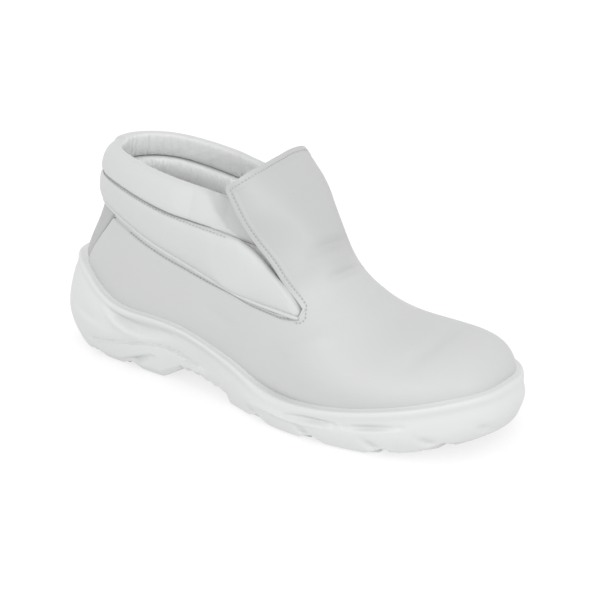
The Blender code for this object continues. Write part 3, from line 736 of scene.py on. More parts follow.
def place_on_form(x, z):
    """Share and turn of the form's outer side at a point of the side view."""
    def section(share):
        row = spline(KNOTS, FORM_VALUES, share)
        return row, row[2:4] - row[:2]

    def before(share):
        row, way = section(share)
        return way[0] * (z - row[1]) - way[1] * (x - row[0]) < 0

    share = float(halve(before, 0.0, 1.0))
    row, way = section(share)
    along = ((x - row[0]) * way[0] + (z - row[1]) * way[1]) / (way @ way)
    widest, top_n, back_n = row[7:]
    if along < widest:
        angle = math.acos((1 - along / widest) ** (top_n / 2))
    else:
        angle = math.acos(-(((along - widest) / (1 - widest)) ** (back_n / 2)))
    return share, float(turn_of(angle))


def even_turns(share_of, start, end, spread):
    """Turns from start to end whose points on the form lie at the given shares of the way, and its length."""
    dense = np.linspace(start, end, LINE_SAMPLES)
    lengths = path_lengths(form_surface(share_of(dense), dense))
    return np.interp(np.asarray(spread) * lengths[-1], lengths, dense), lengths[-1]


def crowded(count, strength):
    """Shares from 0 to 1 that lie closer at both ends."""
    even = np.linspace(0, 1, count)
    return even - strength * np.sin(2 * math.pi * even) / (2 * math.pi)


def path_distance(points, path):
    """Distance of points from a path through space, and their share of the way along it."""
    best = np.full(points.shape[:-1], np.inf)
    share = np.zeros(points.shape[:-1])
    for i, (start, end) in enumerate(zip(path, path[1:])):
        run = end - start
        along = np.clip((points - start) @ run / (run @ run), 0, 1)
        distance = np.linalg.norm(points - start - along[..., None] * run, axis=-1)
        share = np.where(distance < best, (i + along) / (len(path) - 1), share)
        best = np.minimum(best, distance)
    return best, share


# Meshes

def lay_grid(bm, points, shade=0.0, gather=0.0):
    """Grid of faces through rows of points. Its UV map holds lengths along and across the rows in metres.
    Its shade says where painted shade darkens the colour, and its gather where the leather is drawn together,
    which painted light makes paler."""
    rows, columns = points.shape[:2]
    layer = bm.loops.layers.uv.verify()
    painted_shade = bm.verts.layers.float.get("shade") or bm.verts.layers.float.new("shade")
    creases = bm.verts.layers.float.get("gather") or bm.verts.layers.float.new("gather")
    made = bmesh.ops.create_grid(bm, x_segments=columns - 1, y_segments=rows - 1, size=1.0)
    verts = sorted(made["verts"], key=lambda vert: (round(vert.co.y, 5), round(vert.co.x, 5)))
    across = np.linalg.norm(np.diff(points, axis=1), axis=2).cumsum(axis=1)
    across = np.hstack([np.zeros((rows, 1)), across])
    up = np.linalg.norm(np.diff(points, axis=0), axis=2).cumsum(axis=0)
    up = np.vstack([np.zeros((1, columns)), up])
    places = {}
    marks = [np.broadcast_to(mark, (rows, columns)).ravel() for mark in (across, up, shade, gather)]
    for vert, place, u, v, dark, drawn in zip(verts, points.reshape(-1, 3), *marks):
        vert.co = Vector(place) * MM
        vert[painted_shade] = dark
        vert[creases] = drawn
        places[vert] = (u * MM, v * MM)
    for face in {face for vert in verts for face in vert.link_faces}:
        face.smooth = True
        for loop in face.loops:
            loop[layer].uv = places[loop.vert]
    return verts


def close_mesh(bm):
    """Merge the doubles of a closed mesh and turn its faces outwards."""
    bmesh.ops.remove_doubles(bm, verts=bm.verts, dist=MERGE)
    bmesh.ops.dissolve_degenerate(bm, edges=bm.edges, dist=SLIVER)
    bmesh.ops.recalc_face_normals(bm, faces=bm.faces)


def face_out(bm):
    """Turn the faces of an open sheet away from the middle of the boot."""
    bmesh.ops.recalc_face_normals(bm, faces=bm.faces)
    outwards = 0.0
    for face in bm.faces:
        place = face.calc_center_median()
        core = Vector((min(max(place.x, CORE_ENDS[0] * MM), CORE_ENDS[1] * MM), 0.0, CORE_HEIGHT * MM))
        outwards += face.normal.dot(place - core) * face.calc_area()
    if outwards < 0:
        bmesh.ops.reverse_faces(bm, faces=bm.faces)


def add_piece(name, bm, finishes, nodes=()):
    """Object of a mesh with its finishes, which rides on the boot and stands for nodes of the frame."""
    mesh = bpy.data.meshes.new(name)
    bm.to_mesh(mesh)
    bm.free()
    for label in finishes:
        mesh.materials.append(finish(label))
    piece = bpy.data.objects.new(name, mesh)
    bpy.context.scene.collection.objects.link(piece)
    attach(piece, "root")
    if nodes:
        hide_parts(*nodes)
    return piece


def add_wall(piece, thickness, inside=0):
    """Give an open sheet its thickness, inwards, with rounded rims."""
    wall = piece.modifiers.new("wall", "SOLIDIFY")
    wall.thickness = thickness
    wall.offset = -1.0
    wall.use_even_offset = True
    wall.material_offset = inside
    rims = piece.modifiers.new("rims", "BEVEL")
    rims.limit_method = "ANGLE"
    rims.angle_limit = math.radians(RIM_ANGLE)
    rims.width = min(RIM_WIDTH * MM, thickness / 4)
    rims.segments = 2


# Materials

def add_node(tree, kind, inputs=None, **settings):
    """Node of a tree with its settings. Each input gets a value or the socket that feeds it."""
    node = tree.nodes.new(kind)
    for name, value in settings.items():
        setattr(node, name, value)
    for name, value in (inputs or {}).items():
        if isinstance(value, bpy.types.NodeSocket):
            tree.links.new(value, node.inputs[name])
        else:
            node.inputs[name].default_value = value
    return node


def fill_grain(tree, scales):
    """Leather grain: small cells with fine creases between them, and slow changes of tone."""
    place = add_node(tree, "ShaderNodeTexCoord").outputs["Object"]
    cells = add_node(tree, "ShaderNodeTexVoronoi", {"Vector": place, "Scale": scales["Cells"]},
                     feature="DISTANCE_TO_EDGE")
    creases, patches = [
        add_node(tree, "ShaderNodeTexNoise", {"Vector": place, "Scale": scales[label], "Detail": detail})
        for label, detail in GRAIN_DETAIL.items()]
    valley = add_node(tree, "ShaderNodeMapRange",
                      {"Value": cells.outputs["Distance"], "From Max": GRAIN_VALLEY})
    height = add_node(tree, "ShaderNodeMath",
                      {0: creases.outputs["Fac"], 1: GRAIN_CREASE, 2: valley.outputs["Result"]},
                      operation="MULTIPLY_ADD")
    return height.outputs["Value"], patches.outputs["Fac"]


def fill_weave(tree, scales):
    """Ribs and cross threads of woven elastic, along the piece's own UV map."""
    place = add_node(tree, "ShaderNodeUVMap").outputs["UV"]
    ribs, threads = [
        add_node(tree, "ShaderNodeTexWave", {"Vector": place, "Scale": scales[label]}, bands_direction=way)
        for label, way in (("Ribs", "X"), ("Threads", "Y"))]
    height = add_node(tree, "ShaderNodeMath",
                      {0: threads.outputs["Fac"], 1: WEAVE_THREAD, 2: ribs.outputs["Fac"]},
                      operation="MULTIPLY_ADD")
    return height.outputs["Value"], ribs.outputs["Fac"]


def fill_creases(tree, scales):
    """Fine creases that run across a roll, along the piece's own UV map."""
    place = add_node(tree, "ShaderNodeUVMap").outputs["UV"]
    stretch = add_node(tree, "ShaderNodeMapping", {"Vector": place, "Scale": CREASE_SCALE})
    lines = add_node(tree, "ShaderNodeTexNoise",
                     {"Vector": stretch.outputs["Vector"], "Scale": scales["Creases"],
                      "Detail": CREASE_DETAIL, "Distortion": CREASE_BEND})
    return (lines.outputs["Fac"],)


# Effects. Columns: inputs, outputs and the function that makes the outputs.
EFFECTS = {
    "leather grain": (("Cells", "Creases", "Patches"), ("Height", "Tone"), fill_grain),
    "elastic weave": (("Ribs", "Threads"), ("Height", "Tone"), fill_weave),
    "gathered creases": (("Creases",), ("Height",), fill_creases),
}


def effect_node(tree, name, scales):
    """Node of an effect's group with its scales. The group is made when it is first asked for."""
    inputs, outputs, fill = EFFECTS[name]
    group = bpy.data.node_groups.get(name)
    if group is None:
        group = bpy.data.node_groups.new(name, "ShaderNodeTree")
        for labels, way in ((inputs, "INPUT"), (outputs, "OUTPUT")):
            for label in labels:
                group.interface.new_socket(name=label, in_out=way, socket_type="NodeSocketFloat")
        made = fill(group, add_node(group, "NodeGroupInput").outputs)
        add_node(group, "NodeGroupOutput", dict(zip(outputs, made)))
    return add_node(tree, "ShaderNodeGroup", dict(zip(inputs, scales)), node_tree=group).outputs


def finish(name):
    """Material whose colour, roughness and bump follow an effect. Painted shade darkens it where the shade
    mark lies, and leather that is drawn together inside the collar has fine creases and is made paler by
    painted light."""
    if name in bpy.data.materials:
        return bpy.data.materials[name]
    row = next(row for row in FINISHES if row[0] == name)
    _, label, spread, roughness, effect, scales, bump, depth = row
    colour = getattr(bpy.context.scene.boot_colours, label)
    material = bpy.data.materials.new(name)
    material.use_nodes = True
    tree = material.node_tree
    shader = tree.nodes["Principled BSDF"]
    made = effect_node(tree, effect, scales)
    painted_shade_mask, drawn = [add_node(tree, "ShaderNodeAttribute", attribute_name=mark).outputs["Fac"]
                    for mark in ("shade", "gather")]

    def tint(factor):
        return (*[min(1.0, channel * factor) for channel in colour], 1.0)

    def mixed(share, first, second):
        inputs = {"Factor": share, "A": first, "B": second}
        return add_node(tree, "ShaderNodeMix", inputs, data_type="RGBA").outputs["Result"]

    # Painted shade: the colour is darkened where the shade mark lies
    with_painted_shade = mixed(painted_shade_mask, mixed(made["Tone"], tint(1 - spread), tint(1 + spread)), tint(PAINTED_SHADE_TONE))
    # Painted light makes the drawn-together leather inside the collar paler
    tree.links.new(mixed(drawn, with_painted_shade, tint(PAINTED_LIGHT_INSIDE)), shader.inputs["Base Color"])
    gloss = add_node(tree, "ShaderNodeMapRange",
                     {"Value": made["Tone"], "To Min": roughness - GLOSS_SPREAD,
                      "To Max": roughness + GLOSS_SPREAD})
    tree.links.new(gloss.outputs["Result"], shader.inputs["Roughness"])
    height = made["Height"]
    if name == "soft leather":
        creases = effect_node(tree, "gathered creases", (1.0,))["Height"]
        masked = add_node(tree, "ShaderNodeMath", {0: creases, 1: drawn}, operation="MULTIPLY")
        height = add_node(tree, "ShaderNodeMath", {0: masked.outputs["Value"], 1: CREASE_HEIGHT, 2: height},
                          operation="MULTIPLY_ADD").outputs["Value"]
    relief = add_node(tree, "ShaderNodeBump", {"Strength": bump, "Distance": depth * MM, "Height": height})
    tree.links.new(relief.outputs["Normal"], shader.inputs["Normal"])
    return material


# Sole

def half_width(x, side):
    """Sole outline between the heel's and the ball's widest places: distance from the mid line at x."""
    heel = (HEEL_WIDEST_X, HEEL_HALF_WIDTH)
    waist = (WAIST_X[side], WAIST_HALF_WIDTH[side])
    ball = (BALL_X[side], BALL_HALF_WIDTH[side])
    start, end = (heel, waist) if x < waist[0] else (waist, ball)
    share = (x - start[0]) / (end[0] - start[0])
    return start[1] + (end[1] - start[1]) * (1 - math.cos(math.pi * share)) / 2


def outline_half(side, count):
    """One side of the sole outline, from the heel's back to the toe's tip, as even rows of (x, y)."""
    sign = SIDE_SIGN[side]
    power = 2 / HEEL_ROUNDNESS
    turn = np.linspace(0, math.pi / 2, OUTLINE_SAMPLES["heel"], endpoint=False)
    heel_x = HEEL_WIDEST_X - (HEEL_WIDEST_X - HEEL_BACK) * np.cos(turn) ** power
    heel_y = sign * HEEL_HALF_WIDTH * np.sin(turn) ** power
    side_x = np.linspace(HEEL_WIDEST_X, BALL_X[side], OUTLINE_SAMPLES["side"], endpoint=False)
    side_y = sign * np.array([half_width(x, side) for x in side_x])
    power = 2 / TOE_ROUNDNESS[side]
    turn = np.linspace(0, math.pi / 2, OUTLINE_SAMPLES["toe"])
    reach = np.maximum(np.cos(turn), 0) ** power
    toe_x = BALL_X[side] + (TOE_TIP - BALL_X[side]) * np.sin(turn) ** power
    toe_y = sign * BALL_HALF_WIDTH[side] * reach + TOE_APEX_Y * (1 - reach)
    toe_y[-1] = TOE_APEX_Y
    points = np.hstack([(heel_x, heel_y), (side_x, side_y), (toe_x, toe_y)]).T
    lengths = path_lengths(points)
    even = np.linspace(0, lengths[-1], count)
    return np.column_stack([np.interp(even, lengths, column) for column in points.T])


def outline_loop(count):
    """The whole sole outline, out along the outer side and back along the inner side."""
    return np.vstack([outline_half("outer", count), outline_half("inner", count)[-2:0:-1]])


def line_distance(x, z, line):
    """Distance of side-view points above a line, negative below, and their share of the way along it."""
    points = np.array(line)
    best = np.full(x.shape, np.inf)
    signed = np.zeros(x.shape)
    share = np.zeros(x.shape)
    for i, (start, end) in enumerate(zip(points, points[1:])):
        run = end - start
        along = np.clip(((x - start[0]) * run[0] + (z - start[1]) * run[1]) / (run @ run), 0, 1)
        distance = np.hypot(x - start[0] - along * run[0], z - start[1] - along * run[1])
        above = np.sign(run[0] * (z - start[1]) - run[1] * (x - start[0]))
        nearer = distance < best
        share = np.where(nearer, (i + along) / (len(points) - 1), share)
        signed = np.where(nearer, above * distance, signed)
        best = np.minimum(best, distance)
    return signed, share


def side_relief(x, z):
    """How far the sole's side is set in by its hollows and out by its ridges and its lug band."""
    inset = np.zeros(x.shape)
    for _, depth, above, below, line in SIDE_RELIEF:
        distance, share = line_distance(x, z, line)
        ends = np.sin(math.pi * np.clip(share, HOLLOW_END, 1 - HOLLOW_END))
        inset += depth * bump_line(distance, np.where(distance > 0, above, below)) * ends
    band = np.array(LUG_BAND)
    under = line_height(LUG_BAND, np.clip(x, band[0, 0], band[-1, 0])) - z
    back_fade = soft_step((x - band[0, 0]) / LUG_BAND_FADE)
    front_fade = soft_step((band[-1, 0] - x) / LUG_BAND_FADE)
    return inset - LUG_BAND_OUT * back_fade * front_fade * soft_step(under / LUG_BAND_STEP + 0.5)


def groove_height(x, y, from_edge):
    """How far grooves, edge notches and arch ribs rise above the sole's bottom, by distance from its edge."""
    rise = np.zeros(x.shape)
    inland = soft_step(from_edge / NOTCH_REACH)
    for mid_x, mid_y, length_x, length_y, depth, turn in GROOVES:
        cosine, sine = math.cos(math.radians(turn)), math.sin(math.radians(turn))
        along = np.abs((x - mid_x) * cosine + (y - mid_y) * sine)
        across = np.abs((y - mid_y) * cosine - (x - mid_x) * sine)
        inside = np.minimum(length_x / 2 - along, length_y / 2 - across)
        groove = depth * soft_step(inside / GROOVE_WALL + 0.5)
        wedge = NOTCH_DEPTH * np.clip(1 - along / NOTCH_HALF_WIDTH, 0, 1) * (across < length_y / 2)
        rise = np.maximum(rise, groove * inland + wedge * (1 - inland))
    start, end = ARCH_RIBS
    wave = np.abs(np.sin(math.pi * (x - start) / ARCH_RIB_PITCH))
    rise = rise + ARCH_RIB_HEIGHT * (1 - wave) * ((x > start) & (x < end))
    return rise + EDGE_RISE * (1 - inland)


def form_tree(offset):
    """Form's surface as a tree that rays can be cast at, in millimetres."""
    rows, columns = 160, 161
    points = form_points(np.linspace(0, 1, rows)[:, None], np.linspace(-2, 2, columns)[None, :], offset)
    firsts = np.arange(rows * columns).reshape(rows, columns)[:-1, :-1].ravel()
    faces = firsts[:, None] + (0, 1, columns + 1, columns)
    return BVHTree.FromPolygons(points.reshape(-1, 3).tolist(), faces.tolist())


def sole_heights(x):
    """Height of the bottom edge, its inset, height of the widest place and of the top edge, at x."""
    table = np.array(SOLE_SECTIONS)
    bottom = np.interp(x, table[:, 0], table[:, 1])
    foot, widest, top = np.moveaxis(spline(table[:, 0], table[:, 2:], x), -1, 0)
    return bottom, foot, widest, top


def inset_to(tree, loop, inward, height):
    """How far a surface lies inside the outline at each station's height, evened out along the outline."""
    away = 20.0
    reach = []
    for point, way, z in zip(loop, inward, height):
        hit = tree.ray_cast(Vector((*(point - way * away), z)), Vector((*way, 0.0)))
        reach.append(hit[3] - away)
    kernel = np.hanning(EVENED_STATIONS)
    past = EVENED_STATIONS // 2
    return np.convolve(np.concatenate([reach[-past:], reach, reach[:past]]), kernel / kernel.sum(), "valid")


def sole_side():
    """Rows of points up the sole's side and over its lip, round the outline."""
    loop = outline_loop(SOLE_STATIONS)
    along = unit(np.roll(loop, -1, axis=0) - np.roll(loop, 1, axis=0))
    inward = np.stack([-along[:, 1], along[:, 0]], axis=1)
    bottom, foot, widest, top = sole_heights(loop[:, 0])
    inner_toe = soft_between(loop[:, 0], *INNER_TOE_X) * soft_between(loop[:, 1], *INNER_TOE_Y)
    top = top - INNER_TOE_DROP * inner_toe
    reach = inset_to(form_tree(LIP), loop, inward, top)
    inner = inset_to(form_tree(0.0), loop, inward, top) + LIP_SEAL
    inner += PANEL_DEPTH * soft_between(loop[:, 0], *HEEL_LIP)
    edge = loop + inward * foot[:, None]
    foot_z = bottom + groove_height(edge[:, 0], edge[:, 1], np.zeros(len(edge)))

    def ring(inset, z):
        return np.column_stack([loop + inward * inset[:, None], z])

    rows = []
    crown = top - LIP_ROUND
    for share in np.linspace(0, 1, SIDE_ROWS):
        z = foot_z + (crown - foot_z) * share
        under = foot * np.clip((widest - z) / (widest - bottom), 0, 1) ** UNDERCUT_POWER
        over = reach * np.clip((z - widest) / (top - widest), 0, 1) ** SHOULDER_POWER
        free = min(1.0, share / RELIEF_FOOT) * soft_step((top - RELIEF_BELOW - z) / RELIEF_FADE)
        inset = under + over + side_relief(loop[:, 0], z) * free
        for below, half_height, out in (BEAD, BEAD_GROOVE):
            inset = inset - out * bump_line(top - below - z, half_height)
        rows.append(ring(inset, z))
    last = inset
    over = reach + LIP_ROUND
    for turn in np.linspace(0, math.pi / 2, LIP_ROWS + 1)[1:]:
        rows.append(ring(last + (over - last) * (1 - math.cos(turn)), crown + LIP_ROUND * math.sin(turn)))
    rows.append(ring((over + inner) / 2, top + LIP_FILLET / 3))
    rows.append(ring(inner, top + LIP_FILLET))
    return np.array(rows)


def across(outer, inner, columns):
    """Points on straight lines from an outer row to an inner row."""
    share = np.linspace(0, 1, columns)[None, :, None]
    return outer[:, None, :] * (1 - share) + inner[:, None, :] * share


def halves(ring):
    """Outer and inner half of a closed ring, both from heel to toe."""
    return ring[:SOLE_STATIONS], np.vstack([ring[:1], ring[:SOLE_STATIONS - 2:-1]])


def tread_points(ring):
    """Bottom of the sole, with its grooves."""
    points = across(*halves(ring), TREAD_COLUMNS)
    inner_part = points[:, 1:-1]
    bottom = np.interp(inner_part[..., 0], *np.array(SOLE_SECTIONS)[:, :2].T)
    width = np.linalg.norm(points[:, -1] - points[:, 0], axis=1)
    share = np.linspace(0, 1, TREAD_COLUMNS)[1:-1]
    from_edge = width[:, None] * np.minimum(share, 1 - share)[None, :]
    inner_part[..., 2] = bottom + groove_height(inner_part[..., 0], inner_part[..., 1], from_edge)
    return points


def cup_points(ring):
    """Inside of the sole, under the upper."""
    points = across(*halves(ring), CUP_COLUMNS)
    tree = form_tree(GAP)
    for row in points[1:-1]:
        for point in row[1:-1]:
            hit = tree.ray_cast(Vector((point[0], point[1], UNDER_FLOOR)), Vector((0, 0, 1)))[0]
            if hit is not None:
                point[2] = min(point[2], hit.z)
    return points


def make_sole():
    """Moulded cup sole: side and lip, tread, and the inside under the upper."""
    bm = bmesh.new()
    rows = sole_side()
    lay_grid(bm, np.concatenate([rows, rows[:, :1]], axis=1))
    lay_grid(bm, tread_points(rows[0]))
    lay_grid(bm, cup_points(rows[-1]))
    close_mesh(bm)
    sole = add_piece("sole_moulding", bm, ["moulded sole"], ["sole"])
    sole.data.set_sharp_from_angle(angle=math.radians(SHARP_ANGLE))


# Upper

def topline_share(turn):
    """Share of the upper's top edge at each turn. In front of the notch it stays level."""
    reached = np.clip(2 - np.abs(np.abs(turn) - 2), NOTCH_TURN, 2)
    return np.interp(reached, TOPLINE_TURNS, TOPLINE_SHARES)


def panel_half(z):
    """Half width of the heel panel at a height."""
    (wide, upper_z), (narrow, lower_z) = PANEL_TOP, PANEL_LOW
    return narrow + (wide - narrow) * (z - lower_z) / (upper_z - lower_z)


def panel_turn(share_of):
    """Turn of the quarter's back edge along a row of the upper."""
    def beside(turn):
        _, y, z = form_surface(share_of(turn), turn)
        return abs(y) > panel_half(z)

    return float(halve(beside, *PANEL_SEARCH))


NOTCH_SHARE, NOTCH_TURN = place_on_form(*NOTCH)
TOPLINE_TURNS = np.linspace(NOTCH_TURN, 2, TOPLINE_SAMPLES)
TOPLINE_SHARES = share_at(shifted(TOPLINE, -PIPING_RADIUS - GAP), TOPLINE_TURNS)
NOTCH_PULL = np.clip(1 - (TOPLINE_TURNS - NOTCH_TURN) / NOTCH_EASE, 0, 1)
TOPLINE_SHARES += (NOTCH_SHARE - TOPLINE_SHARES[0]) * NOTCH_PULL
FLAP_TURNS = np.linspace(-FLAP_REACH, FLAP_REACH, FLAP_TOP_SAMPLES)
FLAP_HEIGHTS = line_height(FLAP_TOP, FLAP_TURNS)
FLAP_TOP_SHARES = share_where(lambda point: FLAP_HEIGHTS, FLAP_TURNS)


def lowered(share, turn, distance):
    """Share of the points that lie a distance further down the form."""
    step = 0.01
    travel = np.linalg.norm(form_surface(share, turn) - form_surface(share - step, turn), axis=-1)
    return share - step * distance / travel


def flap_share(turn, rise):
    """Share of a row of the flap, from the throat at rise 0 to the flap's top at rise 1."""
    top = np.interp(turn, FLAP_TURNS, FLAP_TOP_SHARES)
    return NOTCH_SHARE + (top - NOTCH_SHARE) * rise


def flap_edges(rise):
    """Turns of the flap's inner and outer side edge along a row."""
    edge = line_points(FLAP_EDGE, FLAP_EDGE_SAMPLES)

    def inside(turn):
        x, _, z = form_surface(flap_share(turn, rise), turn)
        return x > np.interp(z, edge[:, 1], edge[:, 0])

    outer = NOTCH_TURN if rise == 0 else float(halve(inside, *FLAP_SEARCH))
    return -outer * (1 - INNER_NARROWING * rise**INNER_POWER), outer


def leather_dent(points):
    """Slow waves and folds of the leather, in millimetres."""
    rise = WAVE_HEIGHT * soft_between(points[..., 2], *WAVE_SPAN)
    for *lengths, start in WAVES:
        rise = rise * np.sin((points / lengths).sum(axis=-1) + start)
    for _, height, half_width, path in FOLDS:
        distance, share = path_distance(points, line_points(path, FOLD_STEPS))
        rise += height * bump_line(distance, half_width) * np.sin(math.pi * share) ** FOLD_ENDS
    return rise


def base_rows():
    """Upper from the toe's tip up to its top edge: shares and turns."""
    steps = np.concatenate([np.linspace(0, 1 - EDGE_BAND, BASE_ROWS, endpoint=False),
                            np.linspace(1 - EDGE_BAND, 1, EDGE_ROWS)])
    back = np.linspace(0, 1, BACK_COLUMNS + 1)
    side = np.linspace(0, 1, SIDE_COLUMNS + 1)
    front = crowded(FRONT_COLUMNS + 1, FRONT_CROWD)
    blend = KNOTS[list(BACK_BLEND)]
    shares, turns = [], []
    for step in steps:
        def share_of(turn):
            return step * topline_share(turn)
        solved = panel_turn(share_of)
        weight = float(soft_between(share_of(BACK_PROBE), *blend))
        panel = LOW_BACK_TURN * (1 - weight) + solved * weight
        stops = (-2.0, -panel, -NOTCH_TURN, NOTCH_TURN, panel, 2.0)
        parts = [even_turns(share_of, start, end, spread)[0][1:]
                 for start, end, spread in zip(stops, stops[1:], (back, side, front, side, back))]
        turns.append(np.concatenate([stops[:1], *parts]))
        shares.append(share_of(turns[-1]))
    return np.array(shares), np.array(turns)


def flap_rows():
    """Flap from the throat up to its top edge: shares, turns and distance from the nearest edge."""
    rises = 1 - (1 - np.linspace(0, 1, FLAP_ROWS)) ** FLAP_CROWD
    front = crowded(FRONT_COLUMNS + 1, FRONT_CROWD)
    height = np.linalg.norm(form_surface(flap_share(0.0, 1.0), 0.0) - form_surface(NOTCH_SHARE, 0.0))
    shares, turns, from_edge = [], [], []
    for rise in rises:
        def share_of(turn):
            return flap_share(turn, rise)
        inner, outer = flap_edges(rise)
        width = even_turns(share_of, inner, outer, [0, 1])[1]
        from_top = (1 - rise) * height
        pull = FLAP_CORNER - math.sqrt(max(FLAP_CORNER**2 - max(FLAP_CORNER - from_top, 0) ** 2, 0))
        cut = pull / width
        row, _ = even_turns(share_of, inner, outer, cut + front * (1 - 2 * cut))
        turns.append(row)
        shares.append(share_of(row))
        from_side = width * (1 - 2 * cut) * np.minimum(front, 1 - front)
        to_top = form_surface(flap_share(row, 1.0), row) - form_surface(shares[-1], row)
        from_edge.append(np.minimum(from_side, np.linalg.norm(to_top, axis=1)))
    return np.array(shares), np.array(turns), np.array(from_edge)


def floor_height(x):
    """Height of the form's underside at x."""
    table = FORM_VALUES[:FOOT_SECTIONS, 2:4]
    order = np.argsort(table[:, 0])
    return np.interp(x, table[order, 0], table[order, 1])


def is_open(place):
    """Whether the upper is open at a place in millimetres: under the foot and in the heel panel's window."""
    x, y, z = place
    in_window = x < WINDOW_X and z > PANEL_LOW[1] and abs(y) < panel_half(z) - WINDOW_MARGIN
    return in_window or z < floor_height(x) + OPEN_UNDER


def make_upper():
    """Leather upper with its stand-up flap, lined."""
    sizes = bpy.context.scene.boot_sizes
    bm = bmesh.new()
    shares, turns = base_rows()
    plain = form_surface(shares, turns)
    below = np.linalg.norm(form_surface(topline_share(turns), turns) - plain, axis=-1)
    quarter = soft_step((np.abs(turns) - NOTCH_TURN) / NOTCH_FADE)
    seam = quarter * bump_line(below - SEAM_BELOW, SEAM_HALF_WIDTH)
    # The groove under the top edge gets painted shade
    lay_grid(bm, form_points(shares, turns, leather_dent(plain) - SEAM_DEPTH * seam), seam * SEAM_PAINTED_SHADE)
    shares, turns, from_edge = flap_rows()
    plain = form_surface(shares, turns)
    hem = sizes.hem / MM * soft_step((HEM_WIDTH - from_edge) / HEM_STEP)
    groove = STITCH_GROOVE[0] * bump_line(from_edge - sizes.stitch_inset / MM, STITCH_GROOVE[1])
    fade = soft_step((plain[..., 2] - NOTCH[1]) / HEM_FADE)
    # Painted shade on the flap
    flap_painted_shade = FLAP_SHADE * soft_step((shares - NOTCH_SHARE) / FLAP_SHADE_SPAN)
    lay_grid(bm, form_points(shares, turns, leather_dent(plain) + (hem - groove) * fade), flap_painted_shade)
    bmesh.ops.remove_doubles(bm, verts=bm.verts, dist=MERGE)
    hidden = [face for face in bm.faces if is_open(face.calc_center_median() / MM)]
    bmesh.ops.delete(bm, geom=hidden, context="FACES")
    face_out(bm)
    upper = add_piece("upper_leather", bm, ["smooth leather", "lining felt"], ["upper"])
    add_wall(upper, sizes.wall, 1)


def make_heel_panel():
    """Panel under the quarters' back edges, lined."""
    bm = bmesh.new()
    spread = np.linspace(0, 1, PANEL_COLUMNS)
    rows = []
    for share in np.linspace(KNOTS[PANEL_SECTION], 1.0, PANEL_ROWS):
        def share_of(turn):
            return topline_share(turn) * share
        edge = panel_turn(share_of) + PANEL_LAP
        row, _ = even_turns(share_of, edge, 4 - edge, spread)
        rows.append(form_points(share_of(row), row, -PANEL_DEPTH))
    # Painted shade over the whole panel, and painted shadow of the quarters' edges along its sides
    edges = bump_line(np.minimum(spread, 1 - spread), PANEL_EDGE_SHADOW_WIDTH)
    lay_grid(bm, np.array(rows), PANEL_SHADE + PANEL_EDGE_SHADOW * edges)
    face_out(bm)
    panel = add_piece("heel_panel_leather", bm, ["smooth leather", "lining felt"], ["heel_panel"])
    add_wall(panel, PANEL_WALL * MM, 1)


# Collar

def collar_turns(front, share_of, count):
    """Turns round the collar, evenly spaced, from its outer front end round the back to its inner one."""
    start = float(turn_of(front))
    return even_turns(share_of, start, 4 - start, np.linspace(0, 1, count))


def wrinkles(along, seed):
    """Irregular narrow creases along the collar, from 0 on the swellings to -1 in the deepest crease."""
    rng = np.random.default_rng(seed)
    total = np.zeros(along.shape)
    for length, weight in WRINKLES:
        phase = rng.uniform(0, math.pi)
        drift = DRIFT * np.sin(along / (length * DRIFT_LENGTH) + rng.uniform(0, 2 * math.pi))
        swell = SWELL[0] + SWELL[1] * np.sin(along / (length * SWELL_LENGTH) + rng.uniform(0, 2 * math.pi))
        crease = 1 - np.abs(np.sin(math.pi * along / length + phase + drift))
        total -= weight * swell * crease**WRINKLE_SHARPNESS
    return total


def back_angles(turns):
    """Angles of turns round the collar, the same on both sides of the boot."""
    return angle_of(np.where(turns > 2, 4 - turns, turns))


def beside_flap(angles):
    """How free a roll is of the flap: 0 beside it, 1 further back."""
    return soft_between(angles, *FLAP_TUCK_SPAN)


